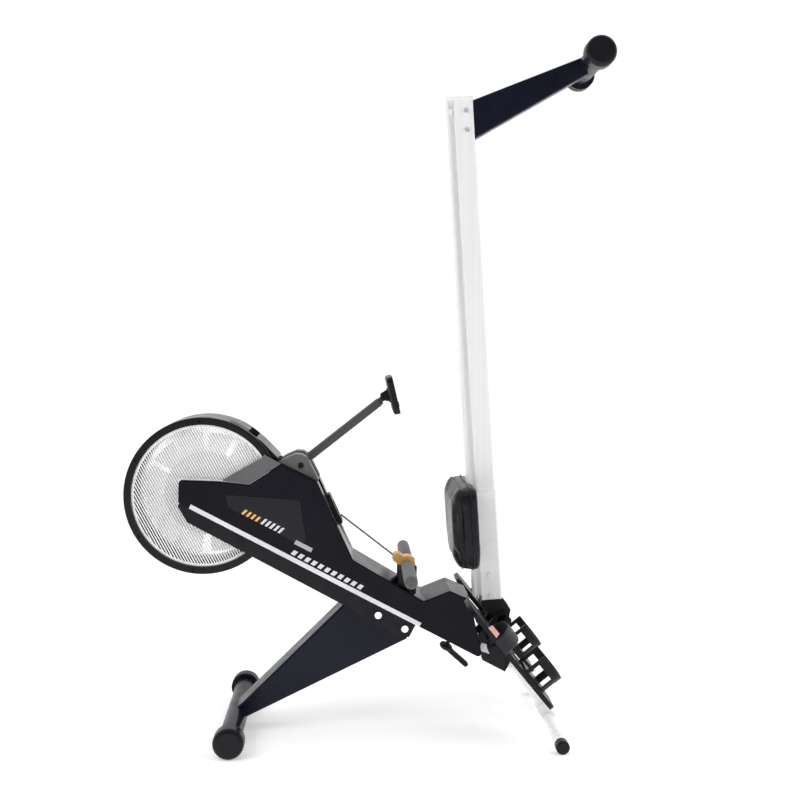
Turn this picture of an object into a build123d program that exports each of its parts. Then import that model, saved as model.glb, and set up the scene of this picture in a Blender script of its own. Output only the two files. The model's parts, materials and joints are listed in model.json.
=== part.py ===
from build123d import *
import os
from math import atan2, cos, degrees, hypot, radians, sin

# Air rowing machine standing folded. Design frame: X towards the rail, Y to the right hand of the
# rower, Z up, with the front floor bar's axis at X = 0. At the end everything moves along X so that
# the origin is the middle of the footprint of the bounding box, on the floor.

# ------------------------------------------------------------------ driving dimensions, mm
CLEAR = 0.3                 # gap between pieces that pass each other
RUN = 0.04                  # radial clearance of a running fit

# floor bars and legs
FRONT_BAR_LENGTH = 477.0
REAR_BAR_LENGTH = 300.0
BAR_RADIUS = 27.0
CAP_RADIUS = 38.0
CAP_LENGTH = 40.0
BAR_WALL = 2.5
LEG_HALF = 45.0             # half width of the front leg box
LEG_WALL = 3.0
LEG_BOLTS_ALONG = (544.0, 620.0)    # along the spine
LEG_BOLT_ABOVE = -26.0
CHANNEL_HALF = 78.0         # half width of the channel under the casing
CHANNEL_WALL = 4.0

# spine: the slanted tube that everything hangs on
SPINE_ANGLE = 28.0
SPINE_X, SPINE_Z = -106.0, 586.5    # start of the trim line at the nose
SPINE_END = 905.0           # along the spine, from that start
SPINE_START = 210.0
TUBE_HALF = 20.0            # half width of the spine tube
TUBE_LOW, TUBE_HIGH = -13.0, 32.0   # below and above the trim line
TUBE_WALL = 2.5
BRACKET_HALF = 32.0         # half width of the end bracket over the tube
BRACKET_LENGTH = 60.0

# stand
STAND_RADIUS = 15.0
STAND_X = 805.0
STAND_CAP_RADIUS = 17.0
STAND_BAR_RADIUS = 14.0
STAND_BAR_LENGTH = 470.0
STAND_CAP_LENGTH = 26.0

# fan
FAN_X, FAN_Z = -75.0, 611.0
CAGE_RADIUS = 197.0
CAGE_OPEN_RADIUS = 179.0
CAGE_HALF = 72.0            # half width over the cage rings
RING_DEPTH = 14.0
CAGE_WALL = 4.0
GRILLE_DEPTH = 4.0
SLAT_PITCH = 9.0
SLAT_WIDTH = 3.6
SLAT_ANGLE = 65.0
RIM_WIDTH = 6.0
BLADE_COUNT = 12
BLADE_INNER = 105.0
BLADE_OUTER = 155.0
BLADE_SPAN = 12.6           # half angle of one blade, degrees
BLADE_PITCH = 28.0
BLADE_THICK = 2.0
DRUM_HALF = 16.0
AXLE_RADIUS = 8.0
HUB_RADIUS = 24.0
FORK_Y = 50.0               # inner face of the fan fork plates
FORK_THICK = 5.0
FORK_BACK = 246.0           # end of the fork plates along the spine

# casing
CASING_HALF = 80.0
CASING_WALL = 3.0
SHELL_HALF = 34.0           # half width of the centre shell between the side covers

# drive
DRIVE_X, DRIVE_Z = 150.0, 560.0
SHAFT_RADIUS = 8.0
PULLEY_RADIUS = 70.0
SMALL_PULLEY_RADIUS = 18.0
BELT_THICK = 3.0
BELT_Y, BELT_WIDTH = 30.0, 8.0
SPOOL_RADIUS = 22.0
SPOOL_HALF = 14.0
WOUND = 6.0                 # depth of strap wound on the spool
DRIVE_PLATE = 5.0
BEARING_OUTER = 15.0

# strap and handle
STRAP_WIDTH, STRAP_THICK = 20.0, 2.0
STRAP_START = (268.0, 551.0)
STRAP_END = (400.0, 447.5)
GUIDE_ROLLER_RADIUS = 11.0
GUIDE_ROLLER_AT = (1.9, 0.1)        # on the slope: down it and out of it, from its middle
GUIDE_SLOT = (-40.0, 15.0)
GUIDE_PLATE = (-62.0, 21.0)
GUIDE_PIN_RADIUS = 2.5
HANDLE_X, HANDLE_Z = 438.0, 424.0
HANDLE_LENGTH = 470.0
HANDLE_TILT = 4.0           # lean of the pull direction from the vertical
HANDLE_TRAVEL = 720.0
HANDLE_RADIUS = 12.0
GRIP_RADIUS = 17.0
GRIP_LENGTH = 160.0
GRIP_INNER = 30.0           # length of a grip's thin inner end

# console
ARM_X, ARM_Z = 169.0, 686.0
ARM_ANGLE = 38.0
ARM_LENGTH = 252.0
ARM_RADIUS = 11.0
CONSOLE_WIDTH = 150.0
CONSOLE_HEIGHT = 96.0
CONSOLE_DEPTH = 17.0
CONSOLE_TILT = 13.0         # lean of the console's face from the vertical
BUTTON_TRAVEL = 1.5
BUTTON_RADIUS = 6.0
BUTTON_Z = -26.0
BUTTON_Y = (-32.0, 0.0, 32.0)

# fold pivot and rail; the rail's own frame starts at the pivot, its Z runs up the rail
PIVOT_X, PIVOT_Z = 684.0, 281.0
PIVOT_RADIUS = 8.0
RAIL_LEAN = 3.5
RAIL_START, RAIL_LENGTH = 62.0, 1262.0
RAIL_FACE = 71.0            # running face, from the pivot
RAIL_DEPTH = 70.0
HEAD_HALF, HEAD_THICK = 28.0, 7.0
GROOVE_HALF, GROOVE_HEIGHT = 15.0, 14.0
BODY_HALF = 24.0
RAIL_WALL = 3.0
SLEEVE_LENGTH = 280.0
SLEEVE_WALL = 4.0
HINGE_HALF = 30.0
FOLD_PLATE = 5.0
REAR_BAR_OUT, REAR_BAR_ABOVE = 301.6, 74.2     # from the pivot line and from the rail's end

# seat
SEAT_AT = 252.0             # middle of the seat up the rail when it rests on the lower stop
SEAT_LENGTH = 222.0
SEAT_WIDTH = 300.0
SEAT_DEPTH = 60.0
SEAT_TOP_CORNER, SEAT_LOW_CORNER = 30.0, 80.0
SEAT_STACK = 47.0           # from the running face to the cushion's face
CAVITY_HALF = 44.0          # half width of the hollow under the cushion
CAVITY_END = 8.0            # cushion left beyond the hollow's ends
ROLLER_RADIUS = 11.0
ROLLER_WIDTH = 10.0
ROLLER_Y = 15.0             # middle of an upper roller
GLIDE_HEIGHT = 9.0
ROLLER_AXLE = 4.0
ROLLER_SPREAD = 75.0        # an axle's distance from the middle of the seat
CARRIAGE_THICK = 3.0
CARRIAGE_PAST = 18.0        # carriage plate beyond an axle
BUMPER = 6.0
GLIDE_HALF = 14.0
TAB_HALF = 18.0

# feet
FOOT_X, FOOT_Z = 584.3, 358.7       # top edge of the sole face
FOOT_ANGLE = 51.0
FOOT_LENGTH = 330.0
FOOT_WIDTH = 114.0
FOOT_Y = CASING_HALF + FOOT_WIDTH / 2 + 11.0
FOOT_THICK = 12.0
PEDAL_ALONG, PEDAL_BELOW = 132.0, 25.3
PEDAL_RADIUS = 8.0
PEDAL_BOSS = 17.0
HEEL_AT, HEEL_LENGTH = 211.0, 81.0
HEEL_LOW, HEEL_HIGH = 37.0, 58.0    # the heel band, out of the sole
STRAP_AT, STRAP_BAND = 104.0, 42.0
ARCH_HIGH = 40.0            # top of the foot strap, out of the sole
ARCH_SINK = 10.0            # depth of the arch's axis in the sole
WEBBING = 2.4

# lock pin under the spine, in the spine's frame
LOCK_ALONG, LOCK_LOW, LOCK_TOP = 750.0, -34.6, -4.0
LOCK_RADIUS = 5.0
LOCK_LEVER = 67.0           # reach of the lever from the pin

SIDES = (-1, 1)             # -1 is the rower's left


# ------------------------------------------------------------------ helpers
def span(side, inner, outer):
    """Y range of a slice that lies between two distances from the middle plane, on one side."""
    return min(side * inner, side * outer), max(side * inner, side * outer)


def slab(points, y_low, y_high, radius=0.0):
    """A plate with the given outline of (x, z) points, from y_low to y_high."""
    corners = [(x, y_low, z) for x, z in points]
    if radius:
        wire = FilletPolyline(*corners, radius=radius, close=True)
    else:
        wire = Polyline(*corners, close=True)
    return extrude(make_face(wire), amount=y_high - y_low, dir=(0, 1, 0))


def drum(x, z, radius, y_low, y_high, bore=0.0):
    """A round disc or ring about an axis along Y."""
    solid = Cylinder(radius, y_high - y_low)
    if bore:
        solid -= Cylinder(bore, y_high - y_low + 2)
    return Pos(x, (y_low + y_high) / 2, z) * Rot(90, 0, 0) * solid


def block(x_low, x_high, y_low, y_high, z_low, z_high):
    """A box given by its limits."""
    size = (x_high - x_low, y_high - y_low, z_high - z_low)
    middle = ((x_low + x_high) / 2, (y_low + y_high) / 2, (z_low + z_high) / 2)
    return Pos(*middle) * Box(*size)


def group(solids):
    """Several separate solids in one node."""
    return Compound([solid for shape in solids for solid in shape.solids()])


def capsule(p, q, radius, y_low, y_high):
    """A plate with round ends about two points."""
    along = hypot(q[0] - p[0], q[1] - p[1])
    dx, dz = (q[0] - p[0]) / along * radius, (q[1] - p[1]) / along * radius
    outline = [(p[0] - dz, p[1] + dx), (q[0] - dz, q[1] + dx), (q[0] + dz, q[1] - dx),
               (p[0] + dz, p[1] - dx)]
    ends = [drum(c[0], c[1], radius, y_low, y_high) for c in (p, q)]
    return slab(outline, y_low, y_high) + ends[0] + ends[1]


def spine(shape):
    """Place a piece built along the spine: its X runs down the spine, its Z square to it."""
    return Pos(SPINE_X, 0, SPINE_Z) * Rot(0, SPINE_ANGLE, 0) * shape


def spine_point(along, above):
    """(x, z) of a point given along and above the trim line."""
    c, s = cos(radians(SPINE_ANGLE)), sin(radians(SPINE_ANGLE))
    return SPINE_X + along * c + above * s, SPINE_Z - along * s + above * c


def on_rail(shape):
    """Place a piece built in the rail's frame: Z up the rail, -X towards the running face."""
    return Pos(PIVOT_X, 0, PIVOT_Z) * Rot(0, -RAIL_LEAN, 0) * shape


def rail_point(out, up):
    """(x, z) of a point of the rail's frame."""
    c, s = cos(radians(RAIL_LEAN)), sin(radians(RAIL_LEAN))
    return PIVOT_X + out * c - up * s, PIVOT_Z + out * s + up * c


def on_foot(shape):
    """Place a piece built on the foot plate: X down the sole, Z out of it."""
    return Pos(FOOT_X, 0, FOOT_Z) * Rot(0, FOOT_ANGLE, 0) * shape


def foot_point(along, out):
    """(x, z) of a point on the foot plate."""
    c, s = cos(radians(FOOT_ANGLE)), sin(radians(FOOT_ANGLE))
    return FOOT_X + along * c + out * s, FOOT_Z - along * s + out * c


RAIL_END = RAIL_START + RAIL_LENGTH
REAR_BAR_X, REAR_BAR_Z = rail_point(REAR_BAR_OUT, RAIL_END + REAR_BAR_ABOVE)
PEDAL_X, PEDAL_Z = foot_point(PEDAL_ALONG, -PEDAL_BELOW)


def on_arm(shape):
    """Place a piece built along the console arm: X out along the arm from its pivot."""
    return Pos(ARM_X, 0, ARM_Z) * Rot(0, -ARM_ANGLE, 0) * shape


ARM_TIP_X = ARM_X + ARM_LENGTH * cos(radians(ARM_ANGLE))
ARM_TIP_Z = ARM_Z + ARM_LENGTH * sin(radians(ARM_ANGLE))
CONSOLE_PIVOT = (ARM_TIP_X + 11.0, ARM_TIP_Z + 14.0)
CONSOLE_BACK = 14.0         # from the tilt pivot to the back of the console


def on_console(shape):
    """Place a piece built on the console: X out of its face, Z up its face."""
    return Pos(CONSOLE_PIVOT[0], 0, CONSOLE_PIVOT[1]) * Rot(0, -CONSOLE_TILT, 0) * shape


# ------------------------------------------------------------------ floor bars and legs
def floor_bar(x, z, length, radius):
    """A straight round tube along Y, ending inside its caps."""
    half = length / 2 - 6
    return drum(x, z, radius, -half, half, radius - BAR_WALL)


def end_caps(x, z, length, cap_radius, bar_radius, cap_length):
    """The two rounded caps of a floor bar, each a cup over the tube."""
    caps = []
    for side in SIDES:
        low, high = span(side, length / 2 - cap_length, length / 2)
        cup = drum(x, z, cap_radius, low, high)
        outer = cup.edges().filter_by(GeomType.CIRCLE).sort_by(Axis.Y)[0 if side < 0 else -1]
        cup = fillet(outer, cap_radius * 0.28)
        low, high = span(side, length / 2 - cap_length - 1, length / 2 - 6)
        caps.append(cup - drum(x, z, bar_radius, low, high))
    return group(caps)


LEG_BACK = (281.0, 334.0)
LEG_OUTLINE = [(-14, 52), (16, 76), LEG_BACK, spine_point(633, -14), (436, 236), (30, 40), (0, 20)]


def front_leg():
    """The tapered box leg, coped over the front bar and open at its top."""
    box = slab(LEG_OUTLINE, -LEG_HALF, LEG_HALF, 3.0)
    box = fillet(box.edges().filter_by(Axis.Y, reverse=True).filter_by(
        lambda e: abs(e.center().Y) > LEG_HALF - 0.1 and e.length > 200), 6.0)
    inner = [(34, 72), (287, 318), (424, 246), (46, 56)]
    box -= slab(inner, -LEG_HALF + LEG_WALL, LEG_HALF - LEG_WALL, 3.0)
    above = spine(block(0, 900, -100, 100, TUBE_LOW - 4, 120))
    return box - drum(0, CAP_RADIUS, BAR_RADIUS, -200, 200) - above


def front_leg_bolts():
    """Chrome bolts through the lower channel into the leg's head, two on each side."""
    bolts = []
    for side in SIDES:
        for along in LEG_BOLTS_ALONG:
            x, z = spine_point(along, LEG_BOLT_ABOVE)
            low, high = span(side, CHANNEL_HALF, CHANNEL_HALF + 6)
            bolts.append(drum(x, z, 9, low, high))
    return group(bolts)


# ------------------------------------------------------------------ spine and stand
def main_tube():
    """The rectangular spine tube."""
    outer = block(SPINE_START, SPINE_END, -TUBE_HALF, TUBE_HALF, TUBE_LOW, TUBE_HIGH)
    outer = fillet(outer.edges().filter_by(Axis.X), 6.0)
    inner = block(SPINE_START - 1, SPINE_END + 1, -TUBE_HALF + TUBE_WALL, TUBE_HALF - TUBE_WALL,
                  TUBE_LOW + TUBE_WALL, TUBE_HIGH - TUBE_WALL)
    hole = Pos(LOCK_ALONG, 0, TUBE_LOW) * Cylinder(LOCK_RADIUS + CLEAR, 4 * TUBE_WALL)
    return spine(outer - inner - hole)


def spine_end_bracket():
    """The black cup over the lower end of the spine tube, which holds the stand and fold plates."""
    low, high = SPINE_END - BRACKET_LENGTH, SPINE_END + 6
    cup = block(low, high, -BRACKET_HALF, BRACKET_HALF, TUBE_LOW - 5, TUBE_HIGH + 5)
    cup = fillet(cup.edges().filter_by(Axis.X), 5.0)
    hole = fillet(block(low - 1, SPINE_END, -TUBE_HALF, TUBE_HALF, TUBE_LOW, TUBE_HIGH)
                  .edges().filter_by(Axis.X), 6.0)
    return spine(cup - hole)


STAND_TOP = spine_point(SPINE_END + 6, 4)


def stand_tube():
    """The bent white tube from the spine's end down to the rear floor bar."""
    reach = spine_point(SPINE_END + 36, 4)
    foot = (STAND_X - 9, STAND_CAP_RADIUS + STAND_BAR_RADIUS + 13)
    route = [(p[0], 0, p[1]) for p in (STAND_TOP, reach, foot)]
    path = FilletPolyline(*route, radius=55)
    section = Plane(origin=path @ 0, z_dir=path % 0) * Circle(STAND_RADIUS)
    hollow = Plane(origin=path @ 0, z_dir=path % 0) * Circle(STAND_RADIUS - 2)
    return sweep(section - hollow, path=path)


def stand_saddle():
    """The wedge that clamps the stand tube to the rear floor bar."""
    z = STAND_CAP_RADIUS
    wedge = slab([(STAND_X - 30, z + 24), (STAND_X - 10, z + 40), (STAND_X + 20, z + 8),
                  (STAND_X + 12, z - 8), (STAND_X - 12, z - 6)], -26, 26, 4.0)
    wedge -= drum(STAND_X, z, STAND_BAR_RADIUS, -60, 60)
    return wedge - stand_envelope()


def stand_envelope():
    """The straight lower run of the stand tube, for the pieces that clasp it."""
    reach = spine_point(SPINE_END + 36, 4)
    foot = (STAND_X - 9, STAND_CAP_RADIUS + STAND_BAR_RADIUS + 13)
    angle = degrees(atan2(foot[1] - reach[1], foot[0] - reach[0]))
    rod = Rot(0, 90, 0) * Cylinder(STAND_RADIUS, 60)
    back = cos(radians(angle)) * 30, sin(radians(angle)) * 30
    return Pos(foot[0] - back[0], 0, foot[1] - back[1]) * Rot(0, -angle, 0) * rod


# ------------------------------------------------------------------ fan
def wedge_out(x, z, middle, half, reach, y_low, y_high):
    """A triangle from (x, z) that opens towards the middle angle, to cut rings with."""
    ends = [(x + reach * cos(radians(middle + t)), z + reach * sin(radians(middle + t)))
            for t in (-half, half)]
    return slab([(x, z), *ends], y_low, y_high)


def cage_band():
    """The outer wall of the fan cage, open where the casing joins it."""
    half = CAGE_HALF - RING_DEPTH
    ring = drum(FAN_X, FAN_Z, CAGE_RADIUS, -half, half, CAGE_RADIUS - CAGE_WALL)
    return ring - wedge_out(FAN_X, FAN_Z, 4.0, 66.0, 600.0, -half - 1, half + 1)


def cage_ring(side):
    """The black ring at one side of the fan cage."""
    low, high = span(side, CAGE_HALF - RING_DEPTH, CAGE_HALF)
    ring = drum(FAN_X, FAN_Z, CAGE_RADIUS, low, high, CAGE_OPEN_RADIUS)
    rim = ring.edges().filter_by(GeomType.CIRCLE).filter_by(
        lambda e: e.radius > CAGE_RADIUS - 1 and abs(e.center().Y) > CAGE_HALF - 1)
    return fillet(rim, 4.0)


def grille(side):
    """The slatted guard inside one cage ring: a disc with straight slots between rim and hub."""
    low, high = span(side, CAGE_HALF - RING_DEPTH + 2, CAGE_HALF - RING_DEPTH + 2 + GRILLE_DEPTH)
    free, hub = CAGE_OPEN_RADIUS - RIM_WIDTH, 5.5 * SLAT_PITCH
    gap = (SLAT_PITCH - SLAT_WIDTH) / 2
    count = int((free - 2 * gap) // SLAT_PITCH)
    disc = drum(0, 0, CAGE_OPEN_RADIUS - 0.1, low, high)
    slots = []
    for k in range(-count, count):
        across = (k + 0.5) * SLAT_PITCH
        near, far = abs(across) - gap, abs(across) + gap
        outer = (free ** 2 - far ** 2) ** 0.5
        inner = (hub ** 2 - near ** 2) ** 0.5 if near < hub else 0.0
        runs = [(inner, outer), (-outer, -inner)] if inner else [(-outer, outer)]
        for start, stop in runs:
            slots.append(block(start, stop, low - 1, high + 1, across - gap, across + gap))
    return Pos(FAN_X, 0, FAN_Z) * Rot(0, SLAT_ANGLE, 0) * (disc - slots)


def fan_wheel():
    """The bladed drum that moves the air."""
    cup = drum(0, 0, BLADE_INNER, -DRUM_HALF, DRUM_HALF, BLADE_INNER - 3)
    disc = drum(0, 0, BLADE_INNER - 2, -2, 2, HUB_RADIUS)
    half = BLADE_THICK / 2
    sector = drum(0, 0, BLADE_OUTER, -half, half, BLADE_INNER - 3)
    sector &= wedge_out(0, 0, 0, BLADE_SPAN, 300.0, -half - 1, half + 1)
    blade = Rot(BLADE_PITCH, 0, 0) * sector
    step = 360.0 / BLADE_COUNT
    blades = [Rot(0, step * (k + 0.5), 0) * blade for k in range(BLADE_COUNT)]
    return Pos(FAN_X, 0, FAN_Z) * (cup + disc + blades)


def fan_hub():
    """The hub inside the wheel, with the small belt pulley on its right."""
    body = drum(0, 0, HUB_RADIUS, -22, 22, BEARING_OUTER)
    pulley = drum(0, 0, SMALL_PULLEY_RADIUS, 22, BELT_Y + BELT_WIDTH, AXLE_RADIUS + 2)
    flange = drum(0, 0, SMALL_PULLEY_RADIUS + 5, BELT_Y + BELT_WIDTH, BELT_Y + BELT_WIDTH + 2,
                  AXLE_RADIUS + 2)
    return Pos(FAN_X, 0, FAN_Z) * (body + pulley + flange)


def fan_bearings():
    """Two ball bearings pressed into the hub."""
    rings = []
    for side in SIDES:
        low, high = span(side, 10, 21)
        rings.append(drum(FAN_X, FAN_Z, BEARING_OUTER, low, high, AXLE_RADIUS + RUN))
    return group(rings)


def fan_axle():
    """The fixed axle through the fork."""
    half = FORK_Y + FORK_THICK + 5
    return drum(FAN_X, FAN_Z, AXLE_RADIUS, -half, half)


def fan_axle_nuts():
    """Nuts outside the fork plates."""
    nuts = []
    for side in SIDES:
        low, high = span(side, FORK_Y + FORK_THICK, FORK_Y + FORK_THICK + 4)
        nut = extrude(Plane.XZ * RegularPolygon(13, 6), amount=-(high - low))
        nuts.append(Pos(FAN_X, low, FAN_Z) * nut - drum(FAN_X, FAN_Z, AXLE_RADIUS, low - 1, high + 1))
    return group(nuts)


def fan_fork():
    """Two plates that carry the fan axle ahead of the spine tube."""
    plates = []
    for side in SIDES:
        low, high = span(side, FORK_Y, FORK_Y + FORK_THICK)
        plate = capsule((FAN_X, FAN_Z), spine_point(FORK_BACK - 20, 20), 18, low, high)
        plates.append(plate - drum(FAN_X, FAN_Z, AXLE_RADIUS, low - 1, high + 1))
    return group(plates)


def fork_spacers():
    """Blocks between the spine tube and the fork plates."""
    blocks = []
    for side in SIDES:
        low, high = span(side, TUBE_HALF, FORK_Y)
        blocks.append(spine(block(FORK_BACK - 34, FORK_BACK - 6, low, high, 0, 12)))
    return group(blocks)


# ------------------------------------------------------------------ drive
def drive_brackets():
    """Two plates on the spine tube that hold the drive shaft's bearings."""
    plates = []
    foot_a, foot_b = spine_point(FORK_BACK, 6), spine_point(FORK_BACK + 90, 6)
    for side in SIDES:
        low, high = span(side, TUBE_HALF, TUBE_HALF + DRIVE_PLATE)
        plate = slab([foot_a, (DRIVE_X - 20, DRIVE_Z + 16), (DRIVE_X + 20, DRIVE_Z + 20), foot_b],
                     low, high, 8.0)
        plates.append(plate - drum(DRIVE_X, DRIVE_Z, BEARING_OUTER, low - 1, high + 1))
    return group(plates)


def drive_bearings():
    """Ball bearings in the drive brackets."""
    rings = []
    for side in SIDES:
        low, high = span(side, TUBE_HALF, TUBE_HALF + DRIVE_PLATE)
        rings.append(drum(DRIVE_X, DRIVE_Z, BEARING_OUTER, low, high, SHAFT_RADIUS + RUN))
    return group(rings)


def drive_shaft():
    """The shaft of the spool and the drive pulley."""
    return drum(DRIVE_X, DRIVE_Z, SHAFT_RADIUS, -50, BELT_Y + BELT_WIDTH + 6)


def drive_pulley():
    """The large belt pulley."""
    low, high = BELT_Y, BELT_Y + BELT_WIDTH
    wheel = drum(0, 0, PULLEY_RADIUS, low, high, SHAFT_RADIUS)
    for k in range(6):
        angle = radians(60 * k)
        wheel -= drum(42 * cos(angle), 42 * sin(angle), 13, low - 1, high + 1)
    hub = drum(0, 0, 16, low - 3, high + 3, SHAFT_RADIUS)
    return Pos(DRIVE_X, 0, DRIVE_Z) * (wheel + hub)


def drive_belt():
    """The ribbed belt, tangent to both pulleys."""
    low, high = BELT_Y + 1, BELT_Y + BELT_WIDTH - 1
    return belt_body(BELT_THICK + 0.05, low, high) - belt_body(0.05, low - 1, high + 1)


def belt_body(extra, low, high):
    """The plate inside a belt line round both pulleys, grown by extra."""
    big, small = PULLEY_RADIUS + extra, SMALL_PULLEY_RADIUS + extra
    dx, dz = DRIVE_X - FAN_X, DRIVE_Z - FAN_Z
    distance, heading = hypot(dx, dz), atan2(dz, dx)
    lean = atan2(big - small, (distance ** 2 - (big - small) ** 2) ** 0.5)
    points = []
    for x, z, r, turn in ((FAN_X, FAN_Z, small, 1), (DRIVE_X, DRIVE_Z, big, 1),
                          (DRIVE_X, DRIVE_Z, big, -1), (FAN_X, FAN_Z, small, -1)):
        angle = heading + turn * (radians(90) + lean)
        points.append((x + r * cos(angle), z + r * sin(angle)))
    body = slab(points, low, high)
    return body + drum(DRIVE_X, DRIVE_Z, big, low, high) + drum(FAN_X, FAN_Z, small, low, high)


def strap_spool():
    """The spool on the drive shaft, with two flanges."""
    core = drum(0, 0, SPOOL_RADIUS, -SPOOL_HALF, SPOOL_HALF, SHAFT_RADIUS + RUN)
    flanges = [drum(0, 0, SPOOL_RADIUS + WOUND + 4, *span(side, SPOOL_HALF - 2, SPOOL_HALF),
                    SHAFT_RADIUS + RUN) for side in SIDES]
    return Pos(DRIVE_X, 0, DRIVE_Z) * (core + flanges[0] + flanges[1])


def wound_strap():
    """The turns of strap on the spool."""
    half = STRAP_WIDTH / 2
    return drum(DRIVE_X, DRIVE_Z, SPOOL_RADIUS + WOUND, -half, half, SPOOL_RADIUS)


def spring_cassette():
    """The drum of the return spring, outside the left drive bracket."""
    face = TUBE_HALF + DRIVE_PLATE
    return drum(DRIVE_X, DRIVE_Z, 42, -face - 20, -face, SHAFT_RADIUS + RUN)


# ------------------------------------------------------------------ casing
SLOPE_TOP = (211.0, 645.0)
SLOPE_FOOT = (299.0, 449.0)
VALLEY = (477.0, 342.0)
PEAK = (543.0, 368.0)
TAIL_TOP = (594.0, 345.0)
TAIL_LOW = spine_point(834, -5)
NOSE_TOP = (-133.0, 653.0)
NOSE_LOW = spine_point(-30, -6)
TOP_LINE = [(-35.0, 649.0), (41.0, 640.0), (121.0, 690.0)]
WINDOW = [(-19, 617), (168, 601), (183, 497), (162, 489), (-12, 583)]
COVER_SCREWS = [(203, 622), (266, 497), (372, 372), (470, 318), (583, 322), (600, 240)]


def cover_outline(inset=0.0):
    """The outline of a side cover, as seen from the side."""
    i = inset
    return [(NOSE_TOP[0] + i, NOSE_TOP[1] - i), (TOP_LINE[0][0], TOP_LINE[0][1] - i),
            (TOP_LINE[1][0], TOP_LINE[1][1] - i), (TOP_LINE[2][0], TOP_LINE[2][1] - i),
            (SLOPE_TOP[0] - i, SLOPE_TOP[1] - i), (SLOPE_FOOT[0] - i, SLOPE_FOOT[1] - i),
            (VALLEY[0], VALLEY[1] - i), (PEAK[0], PEAK[1] - i), (TAIL_TOP[0] - i, TAIL_TOP[1] - i),
            (TAIL_LOW[0] - i, TAIL_LOW[1] + i), (NOSE_LOW[0] + i, NOSE_LOW[1] + i)]


def side_cover(side):
    """One half of the casing: a tray with its rim turned inwards, cut to sit over the cage."""
    low, high = span(side, SHELL_HALF, CASING_HALF)
    tray = slab(cover_outline(), low, high, 9.0)
    outer = tray.edges().filter_by(lambda e: abs(e.center().Y) > CASING_HALF - 0.1)
    tray = fillet(outer, 2.5)
    low, high = span(side, SHELL_HALF - 1, CASING_HALF - CASING_WALL)
    tray -= slab(cover_outline(CASING_WALL), low, high, 6.0)
    low, high = span(side, 0, CAGE_HALF + CLEAR)
    tray -= drum(FAN_X, FAN_Z, CAGE_RADIUS + 1, low, high)
    low, high = span(side, CASING_HALF - 1.2, CASING_HALF + 1)
    return tray - slab(WINDOW, low, high, 5.0)


def window_insert(side):
    """The gloss panel let into a side cover."""
    low, high = span(side, CASING_HALF - 1.2, CASING_HALF + 0.4)
    grown = [(-18, 616), (167, 600), (182, 498), (162, 490.5), (-11, 583.6)]
    return slab(grown, low, high, 4.5)


def trim_strip(side):
    """The silver strip along the lower edge of a side cover."""
    low, high = span(side, CASING_HALF, CASING_HALF + 2)
    return spine(block(0, 650, low, high, -4.8, 6.5))


def centre_shell():
    """The strip of casing between the side covers, over the slope, the valley and the tail."""
    def line(i):
        return [(150 - i, 640 - i), (SLOPE_TOP[0] - 4 - i, SLOPE_TOP[1] - 4 - i),
                (SLOPE_FOOT[0] - i, SLOPE_FOOT[1] - i), (VALLEY[0], VALLEY[1] - i),
                (PEAK[0], PEAK[1] - i), (TAIL_TOP[0] - i, TAIL_TOP[1] - i)]
    outline = line(0) + list(reversed(line(CASING_WALL + 1)))
    half = SHELL_HALF - CLEAR
    shell = slab(outline, -half, half)
    slot = block(200, 300, -STRAP_WIDTH / 2 - 4, STRAP_WIDTH / 2 + 4, 530, 600)
    return shell - slot


def lower_channel():
    """The dark U channel under the side covers, from the nose to the leg."""
    top = -6 - CLEAR
    outline = [spine_point(*p) for p in ((-27, top), (640, top), (640, -40), (622, -52),
                                         (446, -44), (11.5, -38.5), (-27, -14))]
    channel = slab(outline, -CHANNEL_HALF, CHANNEL_HALF)
    inner = [spine_point(*p) for p in ((-23, top + 1), (636, top + 1), (636, -38), (620, -47),
                                       (446, -39), (12.5, -34), (-23, -11))]
    channel -= slab(inner, -CHANNEL_HALF + CHANNEL_WALL, CHANNEL_HALF - CHANNEL_WALL)
    leg = slab(LEG_OUTLINE, -LEG_HALF - CLEAR, LEG_HALF + CLEAR)
    leg += spine(block(0, SPINE_END, -TUBE_HALF, TUBE_HALF, TUBE_LOW, TUBE_HIGH))
    inside = CAGE_HALF + CLEAR
    return channel - leg - drum(FAN_X, FAN_Z, CAGE_RADIUS + 1, -inside, inside)


SHROUD = [(30, 777), (70, 748), (111.5, 705), (111.5, 684.7), (98, 676.3), (60, 700)]


def top_shroud():
    """The cover between the top of the cage and the console arm."""
    half = CAGE_HALF - RING_DEPTH
    body = slab(SHROUD, -half, half)
    return body - drum(FAN_X, FAN_Z, CAGE_RADIUS + CLEAR, -half - 1, half + 1)


def corner_panel(side):
    """The grey panel over the upper rear of one grille."""
    low, high = span(side, CAGE_HALF + CLEAR, CAGE_HALF + 5)
    return slab([(-28, 651), (73, 707), (79, 716), (88, 710), (120, 691.5), (40, 641.5)], low, high, 2.0)


def arm_cover(side):
    """The grey triangular cover at one side of the console arm's foot."""
    low, high = span(side, 20, 62)
    outline = [(112, 686.5), (112, 693), (130, 704), (155, 714.5), (172, 713), (186, 704),
               (213.5, 648), (211.6, 645.8), (122, 691.2)]
    cover = slab(outline, low, high, 1.5)
    low, high = span(side, 19, 59)
    inner = [(126, 694.5), (126, 697), (156, 710), (170, 709), (182, 701), (203.5, 656)]
    return cover - slab(inner, low, high)


def arm_screws():
    """Button heads on the arm covers, over the arm's pivot."""
    heads = []
    for side in SIDES:
        low, high = span(side, 62, 65)
        heads.append(drum(ARM_X, ARM_Z, 7, low, high))
    return group(heads)


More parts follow.
